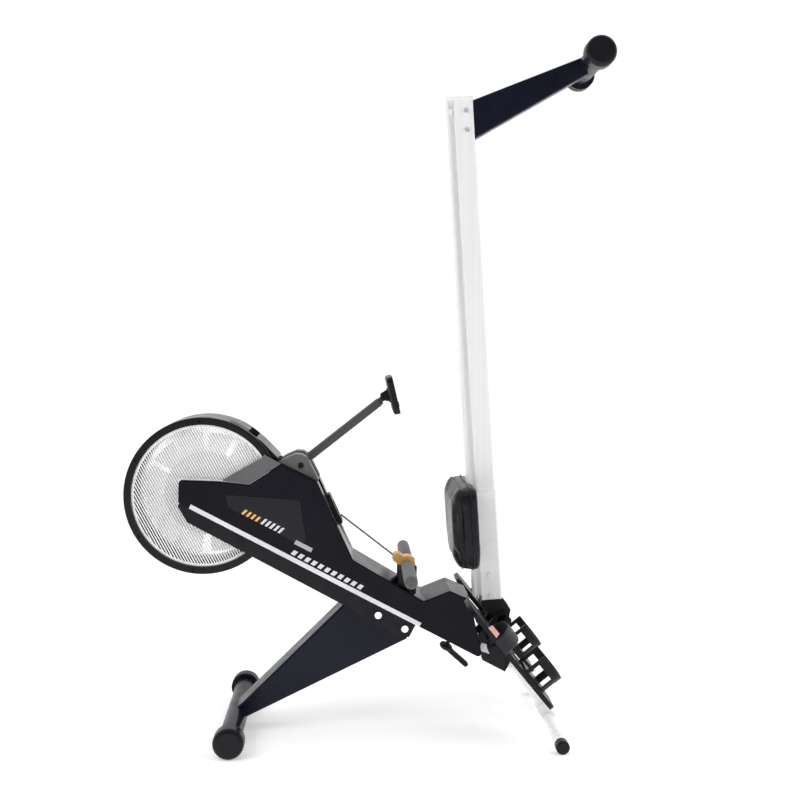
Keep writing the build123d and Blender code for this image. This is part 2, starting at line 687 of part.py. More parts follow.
def cover_screws():
    """Small screws of the side covers and the cage rings."""
    heads = []
    for side in SIDES:
        low, high = span(side, CASING_HALF, CASING_HALF + 1.5)
        for x, z in COVER_SCREWS:
            heads.append(drum(x, z, 3.5, low, high))
        low, high = span(side, CAGE_HALF, CAGE_HALF + 1.2)
        for angle in (92, 152, 212, 262):
            r = (CAGE_RADIUS + CAGE_OPEN_RADIUS) / 2
            x, z = FAN_X + r * cos(radians(angle)), FAN_Z + r * sin(radians(angle))
            heads.append(drum(x, z, 3.5, low, high))
    return group(heads)


# ------------------------------------------------------------------ strap, guide and handle
def strap_frame():
    """Length and heading of the taut strap between the guide and the connector."""
    dx, dz = STRAP_END[0] - STRAP_START[0], STRAP_END[1] - STRAP_START[1]
    return hypot(dx, dz), degrees(atan2(dz, dx))


def drive_strap():
    """The taut stretch of strap from the guide to the handle's connector."""
    length, angle = strap_frame()
    half = STRAP_WIDTH / 2
    run = block(0, length, -half, half, -STRAP_THICK / 2, STRAP_THICK / 2)
    return Pos(STRAP_START[0], 0, STRAP_START[1]) * Rot(0, -angle, 0) * run


SLOPE_ANGLE = degrees(atan2(SLOPE_TOP[1] - SLOPE_FOOT[1], SLOPE_FOOT[0] - SLOPE_TOP[0]))


def on_slope(shape):
    """Place a piece built on the rear slope: X down the slope, Z out of it."""
    return Pos(*[(a + b) / 2 for a, b in zip((SLOPE_TOP[0], 0, SLOPE_TOP[1]),
                                            (SLOPE_FOOT[0], 0, SLOPE_FOOT[1]))]) \
        * Rot(0, SLOPE_ANGLE, 0) * shape


def strap_guide():
    """The dark guide plate on the slope, with the slot that the strap runs through."""
    plate = block(*GUIDE_PLATE, -27, 27, 0.2, 11)
    plate = fillet(plate.edges().filter_by(Axis.Z), 8.0)
    plate = fillet(plate.faces().sort_by(Axis.Z)[-1].edges(), 3.0)
    slot = block(*GUIDE_SLOT, -STRAP_WIDTH / 2 - 2, STRAP_WIDTH / 2 + 2, -1, 12)
    return on_slope(plate - slot)


def guide_roller():
    """The roller in the guide's slot."""
    half = STRAP_WIDTH / 2 + 1.5
    roller = drum(*GUIDE_ROLLER_AT, GUIDE_ROLLER_RADIUS, -half, half, GUIDE_PIN_RADIUS + RUN)
    return on_slope(roller)


def guide_pin():
    """The pin of the guide roller."""
    half = STRAP_WIDTH / 2 + 2
    return on_slope(drum(*GUIDE_ROLLER_AT, GUIDE_PIN_RADIUS, -half, half))


def handle_cradle():
    """Two open hooks on the casing that the grips rest in."""
    hooks = []
    for side in SIDES:
        low, high = span(side, 46, 58)
        base = casing_top(HANDLE_X)
        arm = slab([(HANDLE_X - 24, base + 15.4), (HANDLE_X - 23, HANDLE_Z + 2),
                    (HANDLE_X - 18, HANDLE_Z + 5), (HANDLE_X + 19, HANDLE_Z + 5),
                    (HANDLE_X + 23, HANDLE_Z + 1), (HANDLE_X + 20, base - 11)], low, high, 2.0)
        lane = block(HANDLE_X - GRIP_RADIUS - 0.5, HANDLE_X + GRIP_RADIUS + 0.8, -70, 70, HANDLE_Z,
                     HANDLE_Z + 60)
        hooks.append(arm - drum(HANDLE_X, HANDLE_Z, GRIP_RADIUS + 0.5, -70, 70) - lane)
    return group(hooks)


def casing_top(x):
    """Height of the casing's top between the slope's foot and the valley."""
    share = (x - SLOPE_FOOT[0]) / (VALLEY[0] - SLOPE_FOOT[0])
    return SLOPE_FOOT[1] + share * (VALLEY[1] - SLOPE_FOOT[1])


def handle_bar():
    """The steel bar of the pull handle."""
    half = HANDLE_LENGTH / 2
    return drum(HANDLE_X, HANDLE_Z, HANDLE_RADIUS, -half + 3, half - 3)


def handle_grip(side):
    """One foam grip."""
    half = HANDLE_LENGTH / 2
    low, high = span(side, half - GRIP_LENGTH - GRIP_INNER, half)
    grip = drum(HANDLE_X, HANDLE_Z, GRIP_RADIUS, low, high)
    grip = fillet(grip.edges().filter_by(GeomType.CIRCLE), 7.0)
    low, high = span(side, half - GRIP_LENGTH - GRIP_INNER - 1, half - 3)
    return grip - drum(HANDLE_X, HANDLE_Z, HANDLE_RADIUS, low, high)


def strap_connector():
    """The orange clasp that joins the strap to the handle bar."""
    angle = strap_frame()[1]
    tail = capsule((HANDLE_X, HANDLE_Z), (STRAP_END[0] + 12, STRAP_END[1] - 7), 12, -18, 18)
    eye = drum(HANDLE_X, HANDLE_Z, 21, -18, 18)
    clasp = eye + tail
    clasp -= drum(HANDLE_X, HANDLE_Z, HANDLE_RADIUS, -20, 20)
    past = Pos(STRAP_END[0], 0, STRAP_END[1]) * Rot(0, -angle, 0) * block(-60, 0, -40, 40, -40, 40)
    return clasp - past


# ------------------------------------------------------------------ console
def arm_pivot_pin():
    """The pin that the console arm tilts on."""
    return drum(ARM_X, ARM_Z, 5, -59, 59)


def console_arm():
    """The arm tube with its eye at the casing end and a cap at the console end."""
    tube = Pos(ARM_LENGTH / 2, 0, 0) * Rot(0, 90, 0) * Cylinder(ARM_RADIUS, ARM_LENGTH)
    eye = drum(0, 0, 13, -18, 18)
    arm = tube + eye - drum(0, 0, 5 + RUN, -20, 20)
    lug = block(ARM_LENGTH - 6, ARM_LENGTH + 6, -5, 5, -9, 9)
    return on_arm(arm + lug) + capsule((ARM_TIP_X, ARM_TIP_Z), CONSOLE_PIVOT, 7, -5, 5) \
        - drum(*CONSOLE_PIVOT, 3 + RUN, -10, 10)


def console_bracket():
    """The dark fork behind the console, with its tilt pin."""
    ears = []
    for side in SIDES:
        low, high = span(side, 5.5, 9)
        ears.append(slab([(-8, -8), (-8, 8), (CONSOLE_BACK, 16), (CONSOLE_BACK, -16)], low, high, 3.0))
    back = block(CONSOLE_BACK - 3, CONSOLE_BACK, -14, 14, -18, 18)
    return on_console(back + ears[0] + ears[1] + drum(0, 0, 3, -11, 11))


def console_housing():
    """The console's body, hollow behind its face."""
    x0, x1 = CONSOLE_BACK, CONSOLE_BACK + CONSOLE_DEPTH
    half, tall = CONSOLE_WIDTH / 2, CONSOLE_HEIGHT / 2
    body = block(x0, x1, -half, half, -tall, tall)
    body = fillet(body.edges().filter_by(Axis.X), 14.0)
    body = fillet(body.faces().sort_by(Axis.X)[0].edges(), 7.0)
    cavity = block(x0 + 3, x1 - 3, -half + 4, half - 4, -tall + 4, tall - 4)
    window = block(x1 - 4, x1 + 1, -half + 14, half - 14, -8, tall - 10)
    holes = [Pos(0, y, BUTTON_Z) * Rot(0, 90, 0) * Cylinder(BUTTON_RADIUS + RUN, 120)
             for y in BUTTON_Y]
    keep = block(x1 - 6, x1 + 20, -half, half, -tall, tall)
    body -= cavity
    body -= window
    for hole in holes:
        body -= hole & keep
    return on_console(body)


def console_lens():
    """The clear window over the display."""
    x1 = CONSOLE_BACK + CONSOLE_DEPTH
    half, tall = CONSOLE_WIDTH / 2, CONSOLE_HEIGHT / 2
    return on_console(block(x1 - 3, x1 - 0.5, -half + 14, half - 14, -8, tall - 10))


def console_button(y):
    """One push button in the console's face."""
    x1 = CONSOLE_BACK + CONSOLE_DEPTH
    button = Rot(0, 90, 0) * Cylinder(BUTTON_RADIUS, 7)
    button = fillet(button.edges().filter_by(GeomType.CIRCLE).sort_by(Axis.X)[-1], 1.0)
    return on_console(Pos(x1 - 1, y, BUTTON_Z) * button)


# ------------------------------------------------------------------ fold pivot, feet
def fold_plates():
    """Two plates on the end bracket that carry the fold pivot and the pedal axle."""
    foot_a, foot_b = spine_point(840, TUBE_LOW), spine_point(SPINE_END, TUBE_LOW)
    plates = []
    for side in SIDES:
        low, high = span(side, BRACKET_HALF, BRACKET_HALF + FOLD_PLATE)
        plate = slab([foot_a, (PEDAL_X - 28, PEDAL_Z + 2), (PIVOT_X - 20, PIVOT_Z + 12),
                      (PIVOT_X + 4, PIVOT_Z + 24), (PIVOT_X + 22, PIVOT_Z), foot_b], low, high, 4.0)
        plate -= drum(PIVOT_X, PIVOT_Z, PIVOT_RADIUS, low - 1, high + 1)
        plates.append(plate - drum(PEDAL_X, PEDAL_Z, PEDAL_RADIUS, low - 1, high + 1))
    return group(plates)


def fold_bolt():
    """The pivot bolt of the fold, with its head and nut."""
    out = BRACKET_HALF + FOLD_PLATE
    shank = drum(PIVOT_X, PIVOT_Z, PIVOT_RADIUS, -out, out)
    heads = [drum(PIVOT_X, PIVOT_Z, 13, *span(side, out, out + 5)) for side in SIDES]
    return shank + heads[0] + heads[1]


def fold_bushes():
    """Thrust washers between the hinge block and the fold plates."""
    rings = []
    for side in SIDES:
        low, high = span(side, HINGE_HALF + CLEAR, BRACKET_HALF)
        rings.append(drum(PIVOT_X, PIVOT_Z, 15, low, high, PIVOT_RADIUS))
    return group(rings)


def pedal_axle():
    """The axle through both foot plates."""
    half = FOOT_Y + 24
    return drum(PEDAL_X, PEDAL_Z, PEDAL_RADIUS, -half, half)


def pedal_nuts():
    """Nuts that keep the foot plates on their axle."""
    nuts = []
    for side in SIDES:
        low, high = span(side, FOOT_Y + 18.5, FOOT_Y + 24)
        nuts.append(drum(PEDAL_X, PEDAL_Z, 13, low, high, PEDAL_RADIUS))
    return group(nuts)


def foot_plate(side):
    """A long sole plate with a raised rim at the heel and a boss for the axle."""
    half = FOOT_WIDTH / 2
    plate = block(0, FOOT_LENGTH, -half, half, -FOOT_THICK, 0)
    plate = fillet(plate.edges().filter_by(Axis.Z), 26.0)
    plate = fillet(plate.faces().sort_by(Axis.Z)[-1].edges(), 3.0)
    for k in range(9):
        groove = 60 + k * 24
        plate -= block(groove, groove + 8, -half + 16, half - 16, -2, 1)
    boss = drum(PEDAL_ALONG, -PEDAL_BELOW, PEDAL_BOSS, -18, 18)
    web = block(PEDAL_ALONG - 17, PEDAL_ALONG + 17, -18, 18, -PEDAL_BELOW, -FOOT_THICK + 1)
    plate = plate + boss + web
    plate -= drum(PEDAL_ALONG, -PEDAL_BELOW, PEDAL_RADIUS + RUN, -100, 100)
    return Pos(0, side * FOOT_Y, 0) * on_foot(plate)


def heel_cup(side):
    """A U-shaped heel cup on a base that slides on the sole."""
    half = FOOT_WIDTH / 2 - 8
    base = block(HEEL_AT, HEEL_AT + HEEL_LENGTH, -half, half, 0.2, 5)
    wall = block(HEEL_AT, HEEL_AT + HEEL_LENGTH, -half, half, 0.2, HEEL_HIGH)
    wall = fillet(wall.edges().filter_by(Axis.Z).sort_by(Axis.X)[-2:], 40.0)
    inner = block(HEEL_AT - 1, HEEL_AT + HEEL_LENGTH - 5, -half + 5, half - 5, -1, HEEL_HIGH + 1)
    inner = fillet(inner.edges().filter_by(Axis.Z).sort_by(Axis.X)[-2:], 35.0)
    band = wall - inner
    for y_low, y_high in ((-half - 1, -half + 12), (half - 12, half + 1)):
        band -= block(HEEL_AT + 9, HEEL_AT + 58, y_low, y_high, 5, HEEL_LOW)
    for y_low, y_high in ((-32, -5), (5, 32)):
        band -= block(HEEL_AT + 58, HEEL_AT + HEEL_LENGTH + 1, y_low, y_high, 5, HEEL_LOW)
    cup = band + (base & wall)
    return Pos(0, side * FOOT_Y, 0) * on_foot(cup)


def foot_strap(side):
    """The webbing over the foot, an arch from one edge of the sole to the other."""
    half = FOOT_WIDTH / 2 + WEBBING + 1.2
    high = ARCH_HIGH + ARCH_SINK
    arch = Pos(0, 0, -ARCH_SINK) * (Plane.YZ * Ellipse(half, high)).face()
    inner = Pos(0, 0, -ARCH_SINK) * (Plane.YZ * Ellipse(half - WEBBING, high - WEBBING)).face()
    band = extrude(arch, amount=STRAP_BAND, dir=(1, 0, 0)) - extrude(inner, amount=STRAP_BAND,
                                                                    dir=(1, 0, 0))
    band = Pos(STRAP_AT, 0, 0) * band
    band -= block(STRAP_AT - 1, STRAP_AT + STRAP_BAND + 1, -200, 200, -100, -FOOT_THICK)
    return Pos(0, side * FOOT_Y, 0) * on_foot(band)


# ------------------------------------------------------------------ rail
def rail():
    """The rail extrusion: a hollow body, a waist with two grooves, and the running head."""
    back = -RAIL_FACE + RAIL_DEPTH
    neck = -RAIL_FACE + HEAD_THICK
    waist = neck + GROOVE_HEIGHT
    head = block(-RAIL_FACE, neck, -HEAD_HALF, HEAD_HALF, RAIL_START, RAIL_END)
    head = fillet(head.edges().filter_by(Axis.Z).sort_by(Axis.X)[:2], 5.0)
    web = block(neck, waist, -GROOVE_HALF, GROOVE_HALF, RAIL_START, RAIL_END)
    body = block(waist, back, -BODY_HALF, BODY_HALF, RAIL_START, RAIL_END)
    body = fillet(body.edges().filter_by(Axis.Z), 4.0)
    hollow = block(waist + RAIL_WALL, back - RAIL_WALL, -BODY_HALF + RAIL_WALL,
                   BODY_HALF - RAIL_WALL, RAIL_START - 1, RAIL_END + 1)
    core = block(neck, waist + RAIL_WALL + 1, -GROOVE_HALF + RAIL_WALL, GROOVE_HALF - RAIL_WALL,
                 RAIL_START - 1, RAIL_END + 1)
    return on_rail(head + web + body - hollow - core)


def rail_sleeve():
    """The white U sleeve round the foot of the rail."""
    back = -RAIL_FACE + RAIL_DEPTH
    waist = -RAIL_FACE + HEAD_THICK + GROOVE_HEIGHT
    low, high = RAIL_START - 9, RAIL_START - 9 + SLEEVE_LENGTH
    outer = block(waist, back + SLEEVE_WALL, -BODY_HALF - SLEEVE_WALL, BODY_HALF + SLEEVE_WALL,
                  low, high)
    outer = fillet(outer.edges().filter_by(Axis.Z).sort_by(Axis.X)[-2:], 7.0)
    inner = block(waist - 1, back, -BODY_HALF, BODY_HALF, low - 1, high + 1)
    inner = fillet(inner.edges().filter_by(Axis.Z).sort_by(Axis.X)[-2:], 4.0)
    return on_rail(outer - inner)


def rail_end_cap():
    """The cap on top of the rail."""
    back = -RAIL_FACE + RAIL_DEPTH
    cap = block(-RAIL_FACE - 1, back + 1, -HEAD_HALF - 1, HEAD_HALF + 1, RAIL_END, RAIL_END + 8)
    cap = fillet(cap.edges().filter_by(Axis.Z), 5.0)
    return on_rail(fillet(cap.faces().sort_by(Axis.Z)[-1].edges(), 4.0))


def hinge_block():
    """The black block under the sleeve that turns on the fold bolt."""
    top = RAIL_START - 9
    outline = [(-58, top), (4, top), (22, 24), (12, -14), (-12, -14), (-46, 34)]
    body = slab(outline, -HINGE_HALF, HINGE_HALF, 6.0)
    tongue = block(-40, -12, -BODY_HALF + RAIL_WALL + CLEAR, BODY_HALF - RAIL_WALL - CLEAR, top - 8,
                   RAIL_START + 60)
    body += tongue
    return on_rail(body - drum(0, 0, PIVOT_RADIUS + RUN, -60, 60))


LOWER_STOP = SEAT_AT - ROLLER_SPREAD - GLIDE_HALF - 1
UPPER_STOP = RAIL_END - 34


def rail_stops():
    """Stops in the rail's grooves, below and above the seat's travel."""
    stops = []
    neck = -RAIL_FACE + HEAD_THICK
    for side in SIDES:
        for low, high in ((LOWER_STOP - 12, LOWER_STOP), (UPPER_STOP, UPPER_STOP + 12)):
            stops.append(block(neck, neck + GLIDE_HEIGHT, *span(side, GROOVE_HALF, BODY_HALF),
                               low, high))
    return on_rail(group(stops))


def rail_bolts():
    """Bolts of the sleeve and of the rear leg, on both flanks of the rail."""
    heads = []
    for side in SIDES:
        low, high = span(side, BODY_HALF + SLEEVE_WALL, BODY_HALF + SLEEVE_WALL + 4)
        for up in (64, 118):
            heads.append(drum(-27, up, 6, low, high))
        low, high = span(side, BODY_HALF, BODY_HALF + 4)
        for up in (RAIL_END - 28, RAIL_END - 76):
            heads.append(drum(-20, up, 6, low, high))
    return on_rail(group(heads))


def rear_leg():
    """The tapered navy leg from the top of the rail to the rear bar."""
    back = -RAIL_FACE + RAIL_DEPTH
    bar = REAR_BAR_OUT, RAIL_END + REAR_BAR_ABOVE
    heading = atan2(bar[1] - (RAIL_END - 50), bar[0] - back)
    across = -sin(heading) * 21, cos(heading) * 21
    outline = [(back, RAIL_END - 2), (bar[0] + across[0], bar[1] + across[1]),
               (bar[0] - across[0], bar[1] - across[1]), (back, RAIL_END - 98)]
    box = slab(outline, -22, 22)
    inner = [(back + 8, RAIL_END - 14), (bar[0] - 34, bar[1] + 2), (bar[0] - 30, bar[1] - 24),
             (back + 8, RAIL_END - 84)]
    box = fillet(box.edges().filter_by(lambda e: abs(e.center().Y) > 21.9 and e.length > 100), 4.0)
    box -= slab(inner, -19, 19)
    return on_rail(box - drum(bar[0], bar[1], BAR_RADIUS, -60, 60))


# ------------------------------------------------------------------ seat
SEAT_FACE = -RAIL_FACE - 2 * ROLLER_RADIUS - RUN    # level of the rollers' outer side
BASE_IN = SEAT_FACE - 1.0
BASE_THICK = 4.0
PAD_IN = BASE_IN - BASE_THICK
PAD_OUT = -RAIL_FACE - SEAT_STACK


def seat_pad():
    """The cushion, with a hollow underneath for the carriage."""
    half, long = SEAT_WIDTH / 2, SEAT_LENGTH / 2
    pad = block(PAD_OUT, PAD_OUT + SEAT_DEPTH, -half, half, SEAT_AT - long, SEAT_AT + long)
    pad = fillet(pad.edges().filter_by(Axis.X).sort_by(Axis.Z)[-2:], SEAT_TOP_CORNER)
    pad = fillet(pad.edges().filter_by(Axis.X).sort_by(Axis.Z)[:2], SEAT_LOW_CORNER)
    pad = fillet(pad.faces().sort_by(Axis.X)[0].edges(), 16.0)
    pad = fillet(pad.faces().sort_by(Axis.X)[-1].edges(), 8.0)
    deep = long - CAVITY_END
    cavity = block(PAD_IN, 0, -CAVITY_HALF, CAVITY_HALF, SEAT_AT - deep, SEAT_AT + deep)
    cavity += block(-RAIL_FACE - 2.5, 0, -HEAD_HALF - 4, HEAD_HALF + 4, SEAT_AT - 200, SEAT_AT + 200)
    return on_rail(pad - cavity)


def seat_base():
    """The plate under the cushion."""
    long = SEAT_LENGTH / 2 - 14
    plate = block(PAD_IN, BASE_IN, -CAVITY_HALF + 1, CAVITY_HALF - 1, SEAT_AT - long, SEAT_AT + long)
    return on_rail(plate)


CARRIAGE_Y = HEAD_HALF + 1.5
UPPER_AXLE_X = -RAIL_FACE - ROLLER_RADIUS - RUN


def seat_carriage():
    """Two side plates that reach past the rail's head, with their bumpers."""
    long = ROLLER_SPREAD + CARRIAGE_PAST
    deep = -RAIL_FACE + HEAD_THICK + GLIDE_HEIGHT + 3
    plates = []
    for side in SIDES:
        low, high = span(side, CARRIAGE_Y, CARRIAGE_Y + CARRIAGE_THICK)
        plate = block(BASE_IN, BASE_IN + 9, low, high, SEAT_AT - long, SEAT_AT + long)
        for up in (SEAT_AT - ROLLER_SPREAD, SEAT_AT + ROLLER_SPREAD):
            plate += block(BASE_IN, deep, low, high, up - TAB_HALF, up + TAB_HALF)
        plates.append(plate)
    ends = ((SEAT_AT - long - BUMPER, SEAT_AT - long), (SEAT_AT + long, SEAT_AT + long + BUMPER))
    bumpers = [block(BASE_IN, -RAIL_FACE - 3, -8, 8, *end) for end in ends]
    ties = [block(BASE_IN, BASE_IN + 3, -CARRIAGE_Y - 1, CARRIAGE_Y + 1, *end)
            for end in ((SEAT_AT - long - BUMPER, SEAT_AT - long + 4),
                        (SEAT_AT + long - 4, SEAT_AT + long + BUMPER))]
    body = plates[0] + plates[1] + ties[0] + ties[1] + bumpers[0] + bumpers[1]
    return on_rail(body)


def roller_axles():
    """The two axles of the rollers."""
    axles = [drum(UPPER_AXLE_X, up, ROLLER_AXLE, -CARRIAGE_Y, CARRIAGE_Y)
             for up in (SEAT_AT - ROLLER_SPREAD, SEAT_AT + ROLLER_SPREAD)]
    return on_rail(group(axles))


def upper_rollers(up):
    """The two rollers of one axle, which run on the rail's head."""
    rollers = []
    for side in SIDES:
        low, high = span(side, ROLLER_Y - ROLLER_WIDTH / 2, ROLLER_Y + ROLLER_WIDTH / 2)
        rollers.append(drum(UPPER_AXLE_X, up, ROLLER_RADIUS, low, high, ROLLER_AXLE + RUN))
    return on_rail(group(rollers))


def groove_glides():
    """Four nylon blocks in the rail's grooves, which keep the seat from lifting."""
    glides = []
    neck = -RAIL_FACE + HEAD_THICK
    for side in SIDES:
        low, high = span(side, GROOVE_HALF + 2, CARRIAGE_Y)
        for up in (SEAT_AT - ROLLER_SPREAD, SEAT_AT + ROLLER_SPREAD):
            glides.append(block(neck + CLEAR, neck + CLEAR + GLIDE_HEIGHT, low, high,
                                up - GLIDE_HALF, up + GLIDE_HALF))
    return on_rail(group(glides))


# ------------------------------------------------------------------ lock pin
def lock_pin():
    """The fold lock: a pin up into the spine, an oval knob and its lever."""
    knob = Pos(LOCK_ALONG, 0, LOCK_LOW) * scale(Sphere(12), (1.5, 1.5, 0.9))
    stem = Pos(LOCK_ALONG, 0, (LOCK_LOW + LOCK_TOP) / 2) * Cylinder(LOCK_RADIUS, LOCK_TOP - LOCK_LOW)
    lever = capsule((LOCK_ALONG + 8, LOCK_LOW - 3), (LOCK_ALONG + LOCK_LEVER, LOCK_LOW - 18), 6.5, -6, 6)
    return spine(knob + stem + lever)


# ------------------------------------------------------------------ all pieces
def pieces():
    """Every node of the rowing machine, by name, in the design frame."""
    front = (0, CAP_RADIUS, FRONT_BAR_LENGTH)
    rear = (REAR_BAR_X, REAR_BAR_Z, REAR_BAR_LENGTH)
    stand = (STAND_X, STAND_CAP_RADIUS, STAND_BAR_LENGTH)
    made = {
        "front_leg": front_leg(),
        "lower_channel": lower_channel(),
        "front_floor_bar": floor_bar(*front, BAR_RADIUS),
        "frame_end_caps": group([end_caps(*front, CAP_RADIUS, BAR_RADIUS, CAP_LENGTH),
                                 end_caps(*stand, STAND_CAP_RADIUS, STAND_BAR_RADIUS,
                                          STAND_CAP_LENGTH)]),
        "frame_fasteners": group([front_leg_bolts(), arm_screws(), arm_pivot_pin(), cover_screws(),
                                  fold_bolt(), fold_bushes()]),
        "main_tube": main_tube(),
        "stand_tube": group([stand_tube(), stand_saddle(), floor_bar(*stand, STAND_BAR_RADIUS)]),
        "spine_end_bracket": spine_end_bracket(),
        "fan_wheel": fan_wheel(),
        "fan_hub": group([fan_hub(), fan_bearings()]),
        "fan_fork": group([fan_fork(), fork_spacers(), fan_axle(), fan_axle_nuts()]),
        "drive_brackets": group([drive_brackets(), drive_bearings(), spring_cassette()]),
        "drive_pulley": group([drive_pulley(), drive_shaft()]),
        "drive_belt": drive_belt(),
        "strap_spool": group([strap_spool(), wound_strap()]),
        "cage_shell": group([cage_band(), top_shroud()]),
        "cage_rings": group([cage_ring(side) for side in SIDES]),
        "grilles": group([grille(side) for side in SIDES]),
        "centre_shell": centre_shell(),
        "grey_panels": group([make(side) for make in (corner_panel, arm_cover) for side in SIDES]),
        "window_inserts": group([window_insert(side) for side in SIDES]),
        "trim_strips": group([trim_strip(side) for side in SIDES]),
        "strap_guide": group([strap_guide(), guide_pin()]),
        "guide_roller": guide_roller(),
        "drive_strap": drive_strap(),
        "handle_cradle": handle_cradle(),
        "handle_bar": handle_bar(),
        "handle_grips": group([handle_grip(side) for side in SIDES]),
        "strap_connector": strap_connector(),
        "console_arm": console_arm(),
        "console_housing": group([console_housing(), console_bracket()]),
        "console_lens": console_lens(),
        "fold_plates": fold_plates(),
        "pedal_axle": group([pedal_axle(), pedal_nuts()]),
        "lock_pin": lock_pin(),
        "rail": rail(),
        "rail_sleeve": rail_sleeve(),
        "rail_end_fittings": group([rail_end_cap(), rail_stops()]),
        "hinge_block": hinge_block(),
        "rail_bolts": rail_bolts(),
        "rear_leg": rear_leg(),
        "rear_bar": floor_bar(*rear, BAR_RADIUS),
        "rear_end_caps": end_caps(*rear, CAP_RADIUS, BAR_RADIUS, CAP_LENGTH),
        "seat_pad": seat_pad(),
        "seat_carriage": group([seat_base(), seat_carriage()]),
        "roller_axles": roller_axles(),
        "groove_glides": groove_glides(),
    }
    for side, name in zip(SIDES, ("left", "right")):
        made[f"{name}_side_cover"] = side_cover(side)
        made[f"{name}_foot_plate"] = foot_plate(side)
        made[f"{name}_heel_cup"] = heel_cup(side)
        made[f"{name}_foot_strap"] = foot_strap(side)
    for name, y in zip(("left", "middle", "right"), BUTTON_Y):
        made[f"console_button_{name}"] = console_button(y)
    for name, up in (("lower", SEAT_AT - ROLLER_SPREAD), ("upper", SEAT_AT + ROLLER_SPREAD)):
        made[f"{name}_axle_rollers"] = upper_rollers(up)
    return made


def write_parts():
    """Centre the footprint on the origin and write one STEP file for each node."""
    made = pieces()
    boxes = [shape.bounding_box() for shape in made.values()]
    middle = (min(b.min.X for b in boxes) + max(b.max.X for b in boxes)) / 2
    os.makedirs("parts", exist_ok=True)
    for name, shape in made.items():
        export_step(Pos(-middle, 0, 0) * shape, f"parts/{name}.step")
    return middle


MIDDLE_X = write_parts()
print("nodes", len(os.listdir("parts")), "design frame moved by", round(-MIDDLE_X, 3))
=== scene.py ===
import json
import math

import bmesh
import bpy
import numpy as np
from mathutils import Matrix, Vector


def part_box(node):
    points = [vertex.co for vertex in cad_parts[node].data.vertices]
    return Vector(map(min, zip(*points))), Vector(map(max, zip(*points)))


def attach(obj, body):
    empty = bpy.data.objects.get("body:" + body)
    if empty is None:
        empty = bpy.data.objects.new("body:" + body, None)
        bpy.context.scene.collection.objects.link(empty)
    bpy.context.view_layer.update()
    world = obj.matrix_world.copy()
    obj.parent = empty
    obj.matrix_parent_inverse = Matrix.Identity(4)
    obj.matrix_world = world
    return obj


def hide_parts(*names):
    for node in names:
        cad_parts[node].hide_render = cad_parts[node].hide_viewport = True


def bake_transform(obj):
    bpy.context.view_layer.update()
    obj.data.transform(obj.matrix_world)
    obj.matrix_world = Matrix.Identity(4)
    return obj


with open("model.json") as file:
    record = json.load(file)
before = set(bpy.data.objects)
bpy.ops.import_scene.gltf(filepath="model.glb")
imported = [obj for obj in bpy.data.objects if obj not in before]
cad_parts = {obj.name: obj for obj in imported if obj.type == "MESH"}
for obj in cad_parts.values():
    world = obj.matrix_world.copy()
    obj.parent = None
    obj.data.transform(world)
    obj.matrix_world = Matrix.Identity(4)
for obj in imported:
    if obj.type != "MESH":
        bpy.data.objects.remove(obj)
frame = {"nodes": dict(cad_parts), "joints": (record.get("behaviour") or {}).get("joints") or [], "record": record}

bl_info = {
    "name": "Folding Rowing Machine",
    "version": (1, 0, 0),
    "blender": (4, 5, 0),
    "location": "3D View > Sidebar > Rowing Machine",
    "description": "Shown surfaces and finishes of a folding air rowing machine on its fixed frame",
    "category": "Add Mesh",
}

JOINTS = {joint["name"]: joint for joint in frame["joints"]}
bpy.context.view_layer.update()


# ---------------------------------------------------------------- places taken from the frame
def turned_frame(up):
    """Axes of a frame turned about Y: rows are its X, its Y and its Z, with Z along up."""
    up = np.array(up, float)
    return np.array([[up[2], 0.0, -up[0]], [0.0, 1.0, 0.0], up])


def corners_in(node, origin, axes):
    """Lowest and highest corner of a CAD node in a turned frame: its points less the origin, on
    the axes."""
    mesh = frame["nodes"][node].data
    points = np.zeros(len(mesh.vertices) * 3)
    mesh.vertices.foreach_get("co", points)
    local = (points.reshape(-1, 3) - origin) @ axes.T
    return local.min(0), local.max(0)


def to_row(local, origin, axes):
    """Points of a turned frame in the row frame: origin plus each coordinate times its axis."""
    return np.asarray(local) @ axes + origin


RAIL_ORIGIN = np.array(JOINTS["rail_fold"]["pos_m"])
RAIL_AXES = turned_frame(JOINTS["seat_slide"]["axis"])
SOLE_AXES = turned_frame(JOINTS["left_heel_slide"]["axis"])
PEDAL_ORIGIN = np.array(JOINTS["left_foot_tilt"]["pos_m"])
FAN_CENTRE = np.array(JOINTS["flywheel_spin"]["pos_m"])
GRIP_LONG = 0.190
SIDES = ((-1, "left"), (1, "right"))
RAIL_LEAN = math.radians(3.5)           # of the folded rail, from the upright
CASING_SLOPE = math.radians(28.0)       # fall of the casing towards the rail

# the strap's two ends, and its section
STRAP_START, STRAP_STOP = (-0.06484, 0.0, 0.5510), (0.06716, 0.0, 0.4475)
STRAP_WIDE, STRAP_THICK = 0.020, 0.0019

# the cage's band behind the grilles: radius, first and last angle in degrees, points
BRIDGE_RADIUS, BRIDGE_FROM, BRIDGE_TO, BRIDGE_STEPS = 0.1952, 55.0, 71.0, 17

# the camera's place, its turn in degrees, and its lens and sensor in millimetres
CAMERA_PLACE, CAMERA_TURN = (-0.02984, -2.8485, 1.0247), (86.408, 0.0, -2.358)
CAMERA_LENS, CAMERA_SENSOR = 50.175, 36.0

# each lamp's name, place, size in metres and power in watts, and the point they face
LAMPS = (("lamp_left", (-2.6, -2.2, 3.2), 2.2, 46.0),
         ("lamp_right", (3.0, -1.6, 2.6), 2.0, 34.0))
LAMP_AIM = (0, 0, 0.8)
FLOOR_HALF, FLOOR_UNDER = 30.0, 0.0003

# distance of each marked surface from the middle plane, and a mark's two faces above it
COVER_FACE, WINDOW_FACE, CHANNEL_FACE, CAGE_FACE = 0.0800, 0.0804, 0.0370, 0.0722
MARK_FACES = (0.0001, 0.0005)


